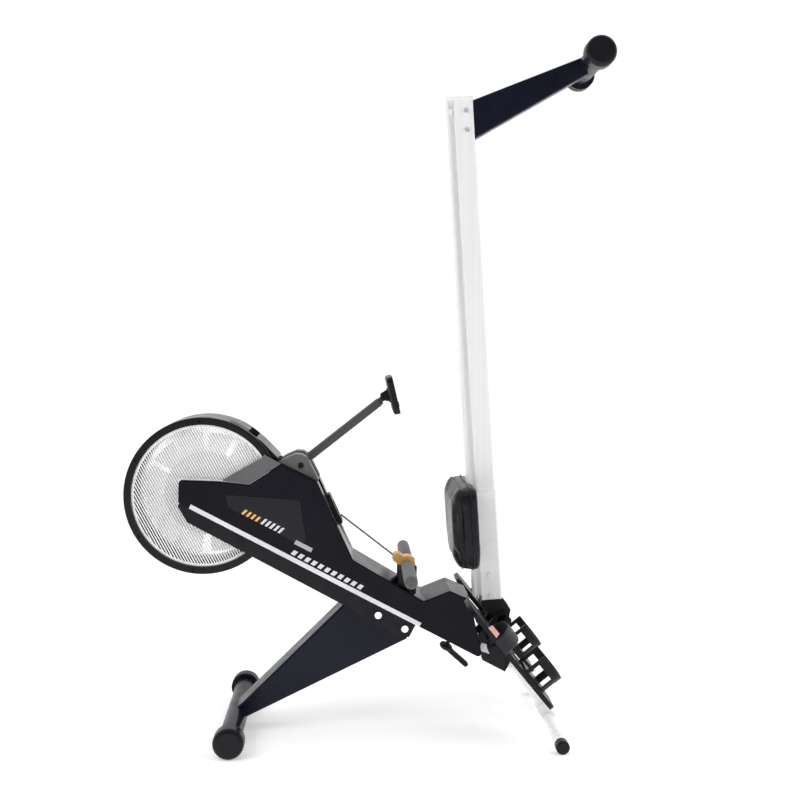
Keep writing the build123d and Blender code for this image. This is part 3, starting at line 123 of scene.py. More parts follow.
# ---------------------------------------------------------------- sizes and colours a user may change
class RowerGrille(bpy.types.PropertyGroup):
    pitch: bpy.props.FloatProperty(
        name="Bar pitch", description="From one bar to the next", default=0.0062,
        min=0.003, max=0.02, unit="LENGTH")
    width: bpy.props.FloatProperty(
        name="Bar width", description="Width of one bar", default=0.0031,
        min=0.001, max=0.01, unit="LENGTH")
    lean: bpy.props.FloatProperty(
        name="Bar lean", description="Slope of the bars below the horizontal",
        default=math.radians(62.0), subtype="ANGLE")


class RowerSeat(bpy.types.PropertyGroup):
    swell: bpy.props.FloatProperty(
        name="Swell", description="The furthest that the stuffing pushes the cover out",
        default=0.008, min=0.0, max=0.016, unit="LENGTH")
    pressure: bpy.props.FloatProperty(
        name="Stuffing pressure", description="Pressure inside the cover while it takes its shape",
        default=4.0, min=0.0, max=10.0)
    welt: bpy.props.FloatProperty(
        name="Welt radius", description="Radius of the cord sewn round the cushion",
        default=0.0021, min=0.001, max=0.005, unit="LENGTH")


class RowerGrip(bpy.types.PropertyGroup):
    crown: bpy.props.FloatProperty(
        name="Crown", description="How far the foam stands proud at the middle of a grip",
        default=0.0008, min=0.0, max=0.003, unit="LENGTH")


class RowerColours(bpy.types.PropertyGroup):
    casing: bpy.props.FloatVectorProperty(
        name="Casing", description="Moulded casing", subtype="COLOR", default=(0.0022, 0.0024, 0.0068))
    paint: bpy.props.FloatVectorProperty(
        name="Leg paint", description="Dark paint of the legs", subtype="COLOR",
        default=(0.009, 0.011, 0.021))
    black: bpy.props.FloatVectorProperty(
        name="Black mouldings", description="Small black mouldings", subtype="COLOR",
        default=(0.008, 0.008, 0.0105))
    white: bpy.props.FloatVectorProperty(
        name="White paint", description="Spine tube, stand and sleeve", subtype="COLOR",
        default=(0.9, 0.9, 0.91))
    accent: bpy.props.FloatVectorProperty(
        name="Accent", description="Clasp of the pull strap and small marks", subtype="COLOR",
        default=(0.92, 0.5, 0.17))


# ---------------------------------------------------------------- surfaces
def skin(name, points, wrap_rows=False, wrap_cols=False, size=None, caps=False, sharp=40.0):
    """A mesh over a grid of points, rows by columns. Face (i, j) joins points (i, j), (i, j+1),
    (i+1, j+1) and (i+1, j). size gives the map: rows run along u and columns along v, in metres."""
    points = np.asarray(points, float)
    rows, cols = points.shape[:2]
    i = np.arange(rows if wrap_rows else rows - 1)[:, None]
    j = np.arange(cols if wrap_cols else cols - 1)[None, :]
    ring, step = (i + 1) % rows, (j + 1) % cols
    faces = np.stack([i * cols + j, i * cols + step, ring * cols + step, ring * cols + j], -1)
    faces = faces.reshape(-1, 4).tolist()
    if caps:
        faces.append(list(range(cols))[::-1])
        faces.append([(rows - 1) * cols + k for k in range(cols)])
    mesh = bpy.data.meshes.new(name)
    mesh.from_pydata(points.reshape(-1, 3).tolist(), [], faces)
    if size is not None:
        u, v = np.broadcast_arrays(i / max(rows - 1, 1), j / max(cols - 1, 1))
        du, dv = 1 / max(rows - 1, 1), 1 / max(cols - 1, 1)
        quad = np.stack([np.stack([u, v], -1), np.stack([u, v + dv], -1),
                         np.stack([u + du, v + dv], -1), np.stack([u + du, v], -1)], -2)
        flat = np.zeros((len(mesh.loops), 2))
        flat[: quad.size // 2] = (quad * np.array(size)).reshape(-1, 2)
        mesh.uv_layers.new(name="run").data.foreach_set("uv", flat.ravel())
    return closed(name, mesh, sharp)


def closed(name, mesh, sharp=40.0):
    """An object of that mesh with its doubles merged, its faces outwards and its edges smooth."""
    work = bmesh.new()
    work.from_mesh(mesh)
    bmesh.ops.remove_doubles(work, verts=work.verts, dist=1e-6)
    bmesh.ops.dissolve_degenerate(work, edges=work.edges, dist=1e-7)
    bmesh.ops.recalc_face_normals(work, faces=work.faces)
    work.to_mesh(mesh)
    work.free()
    mesh.shade_smooth()
    mesh.set_sharp_from_angle(angle=math.radians(sharp))
    thing = bpy.data.objects.new(name, mesh)
    bpy.context.scene.collection.objects.link(thing)
    return thing


def merged(name, parts, sharp=40.0):
    """One object of many grids of the same size, stacked first: every part is a closed band of
    rows by columns with both ends capped by one face each."""
    parts = np.asarray(parts, float)
    count, rows, cols = parts.shape[:3]
    i, j = np.arange(rows - 1)[:, None], np.arange(cols)[None, :]
    step = (j + 1) % cols
    quads = np.stack([i * cols + j, i * cols + step, (i + 1) * cols + step, (i + 1) * cols + j], -1)
    base = np.arange(count)[:, None, None] * rows * cols
    quads = (quads.reshape(1, -1, 4) + base).reshape(-1, 4).tolist()
    ends = np.stack([np.arange(cols)[::-1], (rows - 1) * cols + np.arange(cols)])
    ends = (ends[None] + base).reshape(-1, cols).tolist()
    mesh = bpy.data.meshes.new(name)
    mesh.from_pydata(parts.reshape(-1, 3).tolist(), [], quads + ends)
    return closed(name, mesh, sharp)


def along_path(path, profile, normals):
    """A grid: each path point plus the profile's first number along its normal and the second
    along the cross of the path's direction with that normal."""
    path, profile, normals = (np.asarray(a, float) for a in (path, profile, normals))
    run = np.gradient(path, axis=0)
    run /= np.linalg.norm(run, axis=1, keepdims=True)
    normals = normals - (normals * run).sum(1, keepdims=True) * run
    normals /= np.linalg.norm(normals, axis=1, keepdims=True)
    side = np.cross(run, normals)
    return (path[:, None] + profile[None, :, :1] * normals[:, None]
            + profile[None, :, 1:] * side[:, None])


def rounded_box(width, height, radius, steps=4):
    """A closed profile: four quarter circles of that radius joined by straight runs."""
    turn = np.linspace(0, math.pi / 2, steps)[None] + np.arange(4)[:, None] * math.pi / 2
    corner = np.array([[1, 1], [-1, 1], [-1, -1], [1, -1]]) * (width / 2 - radius, height / 2 - radius)
    ring = np.stack([np.cos(turn), np.sin(turn)], -1) * radius + corner[:, None]
    return ring.reshape(-1, 2)


def arc(centre, radius, start, stop, steps):
    """Points of an arc in the plane: centre plus radius times the cosine and sine of the angle."""
    t = np.radians(np.linspace(start, stop, steps))
    return np.stack([centre[0] + radius * np.cos(t), centre[1] + radius * np.sin(t)], -1)


# ---------------------------------------------------------------- finishes
class Finish:
    """A surface finish: nodes that end in one shader, patterned in the object's own coordinates."""

    def __init__(self, name, **sockets):
        self.material = bpy.data.materials.new(name)
        self.material.use_nodes = True
        self.tree = self.material.node_tree
        self.shader = self.tree.nodes["Principled BSDF"]
        for socket, value in sockets.items():
            self.shader.inputs[socket.replace("_", " ")].default_value = value
        self.place = self.add("ShaderNodeTexCoord").outputs["Object"]
        self.normal = None

    def add(self, kind, inputs=None, **settings):
        """A node with its settings and inputs; a socket is linked and a number is set."""
        node = self.tree.nodes.new(kind)
        for key, value in settings.items():
            setattr(node, key, value)
        for key, value in (inputs or {}).items():
            if isinstance(value, bpy.types.NodeSocket):
                self.tree.links.new(value, node.inputs[key])
            else:
                node.inputs[key].default_value = value
        return node

    def mapped(self, scale, turn=(0, 0, 0)):
        """The object's coordinates, turned and stretched."""
        node = self.add("ShaderNodeMapping", {"Vector": self.place, "Scale": scale, "Rotation": turn})
        return node.outputs["Vector"]

    def noise(self, scale, detail=3.0, where=None):
        """Cloudy noise from 0 to 1."""
        where = self.place if where is None else where
        return self.add("ShaderNodeTexNoise", {"Vector": where, "Scale": scale, "Detail": detail}
                        ).outputs["Fac"]

    def spread(self, value, low, high, at_low=0.0, at_high=1.0):
        """A value between two limits carried to two other values, smoothly."""
        node = self.add("ShaderNodeMapRange", {"Value": value, "From Min": low, "From Max": high,
                                               "To Min": at_low, "To Max": at_high})
        node.interpolation_type = "SMOOTHSTEP"
        return node.outputs["Result"]

    def sum(self, kind, first, second=0.0):
        """Two values put together by a math node."""
        return self.add("ShaderNodeMath", {0: first, 1: second}, operation=kind).outputs["Value"]

    def mix(self, share, first, second):
        """One colour turning into another."""
        first = (*first, 1.0) if isinstance(first, tuple) and len(first) == 3 else first
        second = (*second, 1.0) if isinstance(second, tuple) and len(second) == 3 else second
        return self.add("ShaderNodeMix", {0: share, 6: first, 7: second}, data_type="RGBA").outputs[2]

    def part(self, axis, where=None):
        """One coordinate, 0 to 2."""
        where = self.place if where is None else where
        return self.add("ShaderNodeSeparateXYZ", {"Vector": where}).outputs[axis]

    def colour(self, value):
        self.tree.links.new(value, self.shader.inputs["Base Color"])

    def rough(self, value):
        self.tree.links.new(value, self.shader.inputs["Roughness"])

    def bump(self, height, depth, strength=1.0):
        """Relief of that depth in metres."""
        inputs = {"Height": height, "Distance": depth, "Strength": strength}
        if self.normal is not None:
            inputs["Normal"] = self.normal
        self.normal = self.add("ShaderNodeBump", inputs).outputs["Normal"]
        self.tree.links.new(self.normal, self.shader.inputs["Normal"])
        return self


def tinted(colour, times):
    """A colour made lighter or darker."""
    return tuple(min(1.0, c * times) for c in colour)


def moulded(name, colour, rough, grain=900.0, depth=0.00004, light=1.5, spread=0.08, **sockets):
    """Moulded plastic: a fine even grain, slow changes of gloss and a painted highlight that lightens the grain's
    raised crests.
    """
    made = Finish(name, **{"Specular_IOR_Level": 0.22, **sockets})
    slow, fine = made.noise(6.0), made.noise(grain, 4.0)
    base = made.mix(made.spread(slow, 0.35, 0.65), tinted(colour, 0.85), tinted(colour, 1.15))
    # painted highlight: lighter colour, by the factor light, where the fine grain's bump stands highest
    made.colour(made.mix(made.spread(fine, 0.45, 0.75, 0.0, 0.6), base, tinted(colour, light)))
    made.rough(made.spread(made.noise(22.0, 5.0), 0.3, 0.7, rough - spread, rough + spread))
    made.bump(fine, depth)
    return made


def painted(name, colour, rough, peel=0.00005, **sockets):
    """Sprayed paint: a soft orange-peel relief and a slow drift of tone."""
    made = Finish(name, **sockets)
    slow = made.noise(5.0, 2.0)
    made.colour(made.mix(made.spread(slow, 0.3, 0.7), tinted(colour, 0.94), tinted(colour, 1.05)))
    made.rough(made.spread(made.noise(30.0, 4.0), 0.3, 0.7, rough - 0.05, rough + 0.07))
    made.bump(made.noise(420.0, 2.0), peel)
    return made


def metal(name, colour, rough, stretch, depth=0.00002):
    """Worked metal: fine lines across the stretched direction that change tone and gloss."""
    made = Finish(name, Metallic=1.0)
    lines = made.noise(1.0, 5.0, made.mapped(stretch))
    made.colour(made.mix(made.spread(lines, 0.3, 0.7), tinted(colour, 0.86), tinted(colour, 1.08)))
    made.rough(made.spread(lines, 0.25, 0.75, rough - 0.07, rough + 0.09))
    made.bump(lines, depth)
    return made


def make_finishes():
    """Every finish of the machine by its name in the record's material slots."""
    c = bpy.context.scene.rower_colours
    chosen = (c.casing, c.paint, c.black, c.white, c.accent)
    casing, paint, black, white, accent = (tuple(v) for v in chosen)
    return {
        "navy_casing": moulded("navy casing", casing, 0.24, 1400.0, 0.00002, 1.6, 0.05,
                               Specular_IOR_Level=0.12, Coat_Weight=0.05, Coat_Roughness=0.1),
        "navy_paint": painted("navy paint", paint, 0.3, Specular_IOR_Level=0.14, Coat_Weight=0.05,
                              Coat_Roughness=0.1),
        "black_plastic": moulded("black moulding", black, 0.38, 1100.0, 0.00006),
        # painted glow: the white paint emits a little light of its own, which lightens the spine tube, stand and
        # sleeve
        "white_paint": painted("glowing white paint", white, 0.3, Coat_Weight=0.3, Coat_Roughness=0.1,
                               Emission_Color=(1.0, 1.0, 1.0, 1.0), Emission_Strength=0.08),
        "grey_plastic": moulded("grey moulding", (0.125, 0.125, 0.13), 0.42, 1200.0, 0.00005, 1.25),
        "window_black": moulded("window panel", (0.0028, 0.0026, 0.0065), 0.09, 300.0, 0.000004,
                                1.2, 0.03, Coat_Weight=0.1, Coat_Roughness=0.03),
        "arm_grey": painted("arm paint", (0.085, 0.085, 0.087), 0.36, Specular_IOR_Level=0.2),
        "orange_plastic": moulded("orange moulding", accent, 0.36, 1000.0, 0.00004, 1.12),
        "rubber": moulded("rubber", (0.016, 0.016, 0.018), 0.62, 700.0, 0.00007, 1.8),
        "steel": metal("steel", (0.52, 0.52, 0.54), 0.3, (300, 300, 300)),
        "chrome": fastener_finish(),
        "silver_trim": painted("silver trim", (0.77, 0.77, 0.8), 0.25, Metallic=0.35,
                               Coat_Weight=0.3, Coat_Roughness=0.08),
        # painted glow: the grille silver emits a little light of its own, on the bars, the rims and the cage's
        # edge strips
        "grille_silver": painted("glowing grille silver", (0.95, 0.95, 0.96), 0.34,
                                 Emission_Color=(1.0, 1.0, 1.0, 1.0), Emission_Strength=0.1),
        "lens": moulded("display lens", (0.012, 0.013, 0.015), 0.06, 500.0, 0.000003, 1.1, 0.02,
                        Coat_Weight=0.6, Coat_Roughness=0.02),
        "fan_silver": fan_finish(),
        "rail_aluminium": rail_finish(),
        "grip_foam": foam_finish(),
        "seat_vinyl": vinyl_finish(),
        "webbing": webbing_finish((0.016, 0.016, 0.019)),
    }


def fastener_finish():
    """Blackened screw heads, and bright chrome on the high caps of the channel bolts."""
    made = metal("fasteners", (0.86, 0.86, 0.88), 0.16, (200, 200, 200), depth=0.000005)
    bright = made.shader.inputs["Base Color"].links[0].from_socket
    proud = made.sum("ABSOLUTE", made.part(1))
    made.colour(made.mix(made.spread(proud, 0.0816, 0.0819), (0.012, 0.012, 0.014), bright))
    return made


def fan_finish():
    """Pressed aluminium: bright on the blades and darker on the drum inside them, with a painted glow over the
    whole sheet.
    """
    # painted glow: the sheet emits light of its own, which brightens the blades behind the grille
    made = Finish("glowing fan sheet", Emission_Color=(0.9, 0.9, 0.92, 1.0), Emission_Strength=0.22)
    across = made.sum("SUBTRACT", made.part(0), float(FAN_CENTRE[0]))
    tall = made.sum("SUBTRACT", made.part(2), float(FAN_CENTRE[2]))
    radius = made.sum("SQRT", made.sum("ADD", made.sum("MULTIPLY", across, across),
                                       made.sum("MULTIPLY", tall, tall)))
    lines = made.noise(260.0, 5.0, made.mapped((1, 6, 1)))
    blade = made.mix(made.spread(lines, 0.3, 0.7), (0.74, 0.74, 0.76), (0.9, 0.9, 0.92))
    made.colour(made.mix(made.spread(radius, 0.104, 0.106), (0.36, 0.36, 0.37), blade))
    made.rough(made.spread(lines, 0.25, 0.75, 0.36, 0.52))
    made.bump(lines, 0.00004)
    return made


def rail_finish():
    """Anodised extrusion: die lines that run the length of the rail, under a pale satin, with a painted glow that
    lightens the whole rail.
    """
    # painted glow: the extrusion emits a little light of its own
    made = Finish("glowing rail extrusion", Emission_Color=(1.0, 1.0, 1.0, 1.0), Emission_Strength=0.07,
                  Coat_Weight=0.15, Coat_Roughness=0.2)
    along = made.mapped((900, 900, 2.5), (0, RAIL_LEAN, 0))
    lines, slow = made.noise(1.0, 4.0, along), made.noise(3.0, 2.0)
    tone = made.mix(made.spread(lines, 0.3, 0.7), (0.78, 0.78, 0.79), (0.88, 0.88, 0.885))
    made.colour(made.mix(made.spread(slow, 0.3, 0.7, 0.0, 0.25), tone, (0.9, 0.9, 0.905)))
    made.rough(made.spread(lines, 0.25, 0.75, 0.26, 0.4))
    made.bump(lines, 0.00003)
    return made


def foam_finish():
    """Closed-cell foam: small round cells with darker pits and a dull skin."""
    made = Finish("grip foam", Sheen_Weight=0.25, Sheen_Roughness=0.5)
    cells = made.add("ShaderNodeTexVoronoi", {"Vector": made.place, "Scale": 520.0}).outputs["Distance"]
    worn = made.noise(24.0, 4.0)
    tone = made.mix(made.spread(cells, 0.1, 0.6), (0.05, 0.05, 0.052), (0.12, 0.12, 0.124))
    made.colour(made.mix(made.spread(worn, 0.45, 0.75, 0.0, 0.5), tone, (0.15, 0.15, 0.155)))
    made.rough(made.spread(worn, 0.3, 0.7, 0.7, 0.86))
    made.bump(cells, 0.0003).bump(worn, 0.0006)
    return made


def vinyl_finish():
    """Embossed vinyl: pebbled leather grain over slow creases, glossier where it is stretched."""
    made = Finish("seat vinyl", Specular_IOR_Level=0.16, Coat_Weight=0.05, Coat_Roughness=0.18)
    warp = made.add("ShaderNodeTexNoise", {"Vector": made.place, "Scale": 60.0}).outputs["Color"]
    bent = made.add("ShaderNodeMix", {0: 0.012, 4: made.place, 5: warp}, data_type="VECTOR").outputs[1]
    grain = made.add("ShaderNodeTexVoronoi", {"Vector": bent, "Scale": 420.0},
                     feature="DISTANCE_TO_EDGE").outputs["Distance"]
    slow = made.noise(9.0, 4.0)
    tone = made.mix(made.spread(grain, 0.0, 0.18), (0.007, 0.007, 0.009), (0.0135, 0.0135, 0.017))
    made.colour(made.mix(made.spread(slow, 0.4, 0.75, 0.0, 0.5), tone, (0.02, 0.02, 0.024)))
    made.rough(made.spread(slow, 0.3, 0.7, 0.24, 0.36))
    made.bump(made.spread(grain, 0.0, 0.2), 0.00018).bump(slow, 0.0012)
    return made


def webbing_finish(colour):
    """Woven webbing on the piece's own map: warp and weft ribs, with a stitched line at each edge."""
    made = Finish("webbing", Sheen_Weight=0.3, Sheen_Roughness=0.45)
    run = made.add("ShaderNodeUVMap", uv_map="run").outputs["UV"]
    along = made.sum("SINE", made.sum("MULTIPLY", made.part(0, run), 2800.0))
    across = made.sum("SINE", made.sum("MULTIPLY", made.part(1, run), 4200.0))
    weave = made.sum("MULTIPLY", along, across)
    fuzz = made.noise(700.0, 3.0)
    tone = made.mix(made.spread(weave, -0.8, 0.8), tinted(colour, 0.55), tinted(colour, 1.7))
    made.colour(made.mix(made.spread(fuzz, 0.5, 0.8, 0.0, 0.5), tone, tinted(colour, 3.0)))
    made.rough(made.spread(fuzz, 0.3, 0.7, 0.66, 0.84))
    made.bump(weave, 0.00025)
    return made


def wear(thing, look):
    """Put one finish on an object in place of what it had."""
    thing.data.materials.clear()
    thing.data.materials.append(look.material)
    for slot in thing.material_slots:
        slot.material = look.material
    return thing


FINISHES = {}


def finish(name):
    """A finish by name, made with the others the first time that it is asked for."""
    if not FINISHES:
        FINISHES.update(make_finishes())
    return FINISHES[name]


# ---------------------------------------------------------------- pieces
class ROWER_OT_stage(bpy.types.Operator):
    """Camera, pale floor, white surroundings and soft lights"""
    bl_idname = "rower.stage"
    bl_label = "Stage"

    def execute(self, context):
        scene = context.scene
        lens = bpy.data.cameras.new("camera")
        lens.sensor_width, lens.lens = CAMERA_SENSOR, CAMERA_LENS
        lens.clip_start, lens.clip_end = 0.05, 60.0
        camera = bpy.data.objects.new("camera", lens)
        camera.location = CAMERA_PLACE
        camera.rotation_euler = [math.radians(turn) for turn in CAMERA_TURN]
        scene.collection.objects.link(camera)
        scene.camera = camera
        scene.view_settings.view_transform = "Standard"
        self.floor()
        self.surroundings(scene)
        for lamp in LAMPS:
            self.lamp(*lamp)
        return {"FINISHED"}

    def floor(self):
        """A flat square, x and y from minus to plus its half width, just under the lowest point."""
        span = np.linspace(-FLOOR_HALF, FLOOR_HALF, 3)
        x, y = np.meshgrid(span, span, indexing="ij")
        plane = skin("floor", np.stack([x, y, np.full_like(x, -FLOOR_UNDER)], -1))
        made = Finish("floor", Roughness=0.9, Specular_IOR_Level=0.0,
                      Emission_Color=(1.0, 1.0, 1.0, 1.0), Emission_Strength=0.35)
        cloud = made.spread(made.noise(2.0), 0.3, 0.7)
        made.colour(made.mix(cloud, (0.93, 0.93, 0.93), (0.95, 0.95, 0.95)))
        self.tell_up(plane)
        wear(plane, made)

    def tell_up(self, plane):
        """An open sheet has no outside, so its faces are turned up by their normal's sign."""
        if plane.data.polygons[0].normal.z < 0:
            plane.data.flip_normals()

    def surroundings(self, scene):
        """White all round, with a dark patch towards the front for gloss to mirror."""
        world = bpy.data.worlds.new("surroundings")
        world.use_nodes = True
        scene.world = world
        tree = world.node_tree
        sky = tree.nodes["Background"]
        where = tree.nodes.new("ShaderNodeTexCoord").outputs["Generated"]
        dot = tree.nodes.new("ShaderNodeVectorMath")
        dot.operation = "DOT_PRODUCT"
        tree.links.new(where, dot.inputs[0])
        dot.inputs[1].default_value = (0.0, -1.0, -0.02)
        fade = tree.nodes.new("ShaderNodeMapRange")
        fade.interpolation_type = "SMOOTHSTEP"
        tree.links.new(dot.outputs["Value"], fade.inputs["Value"])
        for key, value in {"From Min": 0.1, "From Max": 0.8, "To Min": 1.0, "To Max": 0.0}.items():
            fade.inputs[key].default_value = value
        seen = tree.nodes.new("ShaderNodeLightPath").outputs["Is Camera Ray"]
        either = tree.nodes.new("ShaderNodeMath")
        either.operation = "MAXIMUM"
        tree.links.new(fade.outputs["Result"], either.inputs[0])
        tree.links.new(seen, either.inputs[1])
        tree.links.new(either.outputs["Value"], sky.inputs["Strength"])
        sky.inputs["Color"].default_value = (1.0, 1.0, 1.0, 1.0)

    def lamp(self, name, place, size, power):
        """A soft square lamp aimed at the middle of the machine."""
        light = bpy.data.lights.new(name, "AREA")
        light.size, light.energy = size, power
        thing = bpy.data.objects.new(name, light)
        thing.location = place
        thing.visible_glossy = False
        facing = Vector(LAMP_AIM) - Vector(place)
        thing.rotation_euler = facing.to_track_quat("-Z", "Y").to_euler()
        bpy.context.scene.collection.objects.link(thing)


class ROWER_OT_pull_strap(bpy.types.Operator):
    """The taut strap from the guide to the clasp on the handle"""
    bl_idname = "rower.pull_strap"
    bl_label = "Pull strap"

    def execute(self, context):
        start, stop = np.array(STRAP_START), np.array(STRAP_STOP)
        long = float(np.linalg.norm(stop - start))
        run = (stop - start) / long
        path = np.stack([start, stop])
        profile = rounded_box(STRAP_THICK, STRAP_WIDE, 0.0007, 3)
        points = along_path(path, profile, np.tile(np.cross(run, (0, 1, 0)), (2, 1)))
        strap = skin("pull_strap", points, wrap_cols=True, size=(long, 0.042), caps=True)
        wear(strap, finish("webbing"))
        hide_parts("drive_strap")
        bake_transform(strap)
        return {"FINISHED"}


class ROWER_OT_grilles(bpy.types.Operator):
    """The slanted bars and the white rim on both sides, and the cage's band behind them"""
    bl_idname = "rower.grilles"
    bl_label = "Grilles"

    def execute(self, context):
        shape = context.scene.rower_grille
        low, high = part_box("grilles")
        radius = (high.x - low.x) / 2
        for side, name in SIDES:
            level = side * (high.y - 0.002)
            bars = self.bars(name, shape, radius - 0.003, level, side)
            rim = self.rim(name, radius, level, side)
            for piece in (bars, rim):
                # the grille silver carries a painted glow
                wear(piece, finish("grille_silver"))
                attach(piece, "frame")
            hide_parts("grilles")
        bridge = self.bridge()
        wear(bridge, finish("navy_casing"))
        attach(bridge, "frame")
        return {"FINISHED"}

    def bridge(self):
        """The stretch of the cage's band that meets the cover behind it: a flat section carried
        along an arc about the fan's axle."""
        low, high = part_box("cage_shell")
        turn = arc((FAN_CENTRE[0], FAN_CENTRE[2]), BRIDGE_RADIUS, BRIDGE_FROM, BRIDGE_TO, BRIDGE_STEPS)
        path = np.stack([turn[:, 0], np.zeros(BRIDGE_STEPS), turn[:, 1]], -1)
        section = rounded_box(0.0034, high.y - low.y - 0.001, 0.001, 3)
        band = along_path(path, section, path - FAN_CENTRE)
        return skin("cage_bridge", band, wrap_cols=True, caps=True)

    def bars(self, name, shape, radius, level, side):
        """Straight bars: bar k lies at k pitches from the centre and spans the circle's chord there.
        Its section is a low arch."""
        count = int(radius // shape.pitch)
        across = np.arange(-count, count + 1) * shape.pitch
        reach = np.sqrt(radius ** 2 - across ** 2)
        section = np.array([[-0.5, -0.0016], [-0.5, 0.0], [-0.25, 0.0012], [0.25, 0.0012],
                            [0.5, 0.0], [0.5, -0.0016]]) * (shape.width, side)
        c, s = math.cos(shape.lean), math.sin(shape.lean)
        ends = np.stack([-reach, reach], -1)
        along = ends[:, :, None]
        sideways = across[:, None, None] + section[None, None, :, 0]
        x = FAN_CENTRE[0] + along * c + sideways * s
        z = FAN_CENTRE[2] - along * s + sideways * c
        y = np.broadcast_to(level + section[None, None, :, 1], x.shape)
        return merged(f"grille_bars_{name}", np.stack([x, y, z], -1), 30.0)

    def rim(self, name, radius, level, side):
        """A ring: the circle's points plus a rounded section, radius outwards and y sideways."""
        turn = np.linspace(0, 2 * math.pi, 145)[:-1][:, None]
        section = rounded_box(0.0065, 0.0042, 0.0014, 4)
        out = radius - 0.0034 + section[None, :, 0]
        x, z = FAN_CENTRE[0] + out * np.cos(turn), FAN_CENTRE[2] + out * np.sin(turn)
        y = np.broadcast_to(level + 0.0006 * side + section[None, :, 1], x.shape)
        return skin(f"grille_rim_{name}", np.stack([x, y, z], -1), True, True)


class ROWER_OT_seat(bpy.types.Operator):
    """The stuffed seat cushion with its welt"""
    bl_idname = "rower.seat"
    bl_label = "Seat cushion"

    def execute(self, context):
        shape = context.scene.rower_seat
        low, high = corners_in("seat_pad", RAIL_ORIGIN, RAIL_AXES)
        cushion = self.stuffed(shape, low, high)
        wear(cushion, finish("seat_vinyl"))
        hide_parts("seat_pad")
        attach(cushion, "seat")
        for name, share in (("front", 0.30), ("back", 0.72)):
            welt = self.welt(cushion, shape.welt, low, high, low[0] + share * (high[0] - low[0]), name)
            wear(welt, finish("seat_vinyl"))
            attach(welt, "seat")
        return {"FINISHED"}

    def stuffed(self, shape, low, high):
        """The pad's own solid, shrunk a little, remeshed evenly and pushed out by the stuffing."""
        mesh = frame["nodes"]["seat_pad"].data.copy()
        mesh.materials.clear()
        pad = closed("seat_cushion", mesh)
        points = self.read(pad)
        local = (points - RAIL_ORIGIN) @ RAIL_AXES.T
        middle = (low + high) / 2
        room = np.array([0.0, shape.swell * 0.55, shape.swell * 0.55])
        local += (middle - local) * room / ((high - low) / 2)
        front = np.clip((middle[0] - local[:, 0]) / ((high[0] - low[0]) / 2), 0, 1)
        local[:, 0] += front * shape.swell * 0.5
        self.write(pad, to_row(local, RAIL_ORIGIN, RAIL_AXES))
        remesh = pad.modifiers.new("even", "REMESH")
        remesh.mode, remesh.voxel_size = "VOXEL", 0.005
        self.apply(pad, remesh)
        self.press(pad, shape, high)
        smooth = pad.modifiers.new("smooth", "SMOOTH")
        smooth.factor, smooth.iterations = 0.5, 4
        self.apply(pad, smooth)
        fine = pad.modifiers.new("fine", "SUBSURF")
        fine.levels = fine.render_levels = 1
        self.apply(pad, fine)
        pad.data.shade_smooth()
        return pad

    def press(self, pad, shape, high):
        """Blow the cover up with its back held, then keep each point within the swell."""
        rest = self.read(pad)
        local = (rest - RAIL_ORIGIN) @ RAIL_AXES.T
        held = pad.vertex_groups.new(name="held")
        back = np.nonzero(local[:, 0] > high[0] - 0.019)[0]
        held.add(back.tolist(), 1.0, "REPLACE")
        cloth = pad.modifiers.new("stuffing", "CLOTH")
        cloth.settings.use_pressure = True
        cloth.settings.uniform_pressure_force = shape.pressure
        cloth.settings.vertex_group_mass = "held"
        cloth.settings.effector_weights.gravity = 0.0
        frames = range(1, 21)
        cloth.point_cache.frame_start, cloth.point_cache.frame_end = frames[0], frames[-1]
        for step in frames:
            bpy.context.scene.frame_set(step)
        made = pad.evaluated_get(bpy.context.evaluated_depsgraph_get())
        blown = np.zeros(len(rest) * 3)
        made.data.vertices.foreach_get("co", blown)
        pad.modifiers.remove(cloth)
        bpy.context.scene.frame_set(1)
        move = blown.reshape(-1, 3) - rest
        far = np.linalg.norm(move, axis=1, keepdims=True)
        move *= np.minimum(1.0, shape.swell / np.maximum(far, 1e-9))
        self.write(pad, rest + move)

    def welt(self, pad, radius, low, high, level, name):
        """A closed tube round the cushion: for each angle about the cushion's middle, the furthest
        point of the cover near that level."""
        local = (self.read(pad) - RAIL_ORIGIN) @ RAIL_AXES.T
        middle = (low + high) / 2
        near = np.abs(local[:, 0] - level) < 0.004
        across, tall = local[near, 1] - middle[1], local[near, 2] - middle[2]
        angle, reach = np.arctan2(tall, across), np.hypot(across, tall)
        bins = 180
        which = ((angle + math.pi) / (2 * math.pi) * bins).astype(int) % bins
        furthest = np.zeros(bins)
        np.maximum.at(furthest, which, reach)
        empty = furthest < 0.02
        furthest[empty] = np.interp(np.nonzero(empty)[0], np.nonzero(~empty)[0], furthest[~empty])
        kernel = np.array([0.25, 0.5, 0.25])
        for _ in range(3):
            furthest = np.convolve(np.r_[furthest[-1:], furthest, furthest[:1]], kernel, "valid")
        turn = (np.arange(bins) + 0.5) / bins * 2 * math.pi - math.pi
        path = np.stack([np.full(bins, level), middle[1] + furthest * np.cos(turn),
                         middle[2] + furthest * np.sin(turn)], -1)
        run = np.roll(path, -1, 0) - np.roll(path, 1, 0)
        run /= np.linalg.norm(run, axis=1, keepdims=True)
        out = np.cross(run, (1.0, 0.0, 0.0))
        ring = np.linspace(0, 2 * math.pi, 11)[:-1]
        tube = (path[:, None] + radius * np.cos(ring)[None, :, None] * out[:, None]
                + radius * np.sin(ring)[None, :, None] * np.array([1.0, 0.0, 0.0]))
        return skin(f"seat_welt_{name}", to_row(tube, RAIL_ORIGIN, RAIL_AXES), True, True)

    def read(self, thing):
        points = np.zeros(len(thing.data.vertices) * 3)
        thing.data.vertices.foreach_get("co", points)
        return points.reshape(-1, 3)

    def write(self, thing, points):
        thing.data.vertices.foreach_set("co", np.asarray(points, np.float32).ravel())
        thing.data.update()

    def apply(self, thing, modifier):
        """Take the mesh that the modifiers make as the object's own."""
        bpy.context.view_layer.update()
        shown = thing.evaluated_get(bpy.context.evaluated_depsgraph_get())
        mesh = bpy.data.meshes.new_from_object(shown)
        thing.modifiers.remove(modifier)
        thing.data = mesh


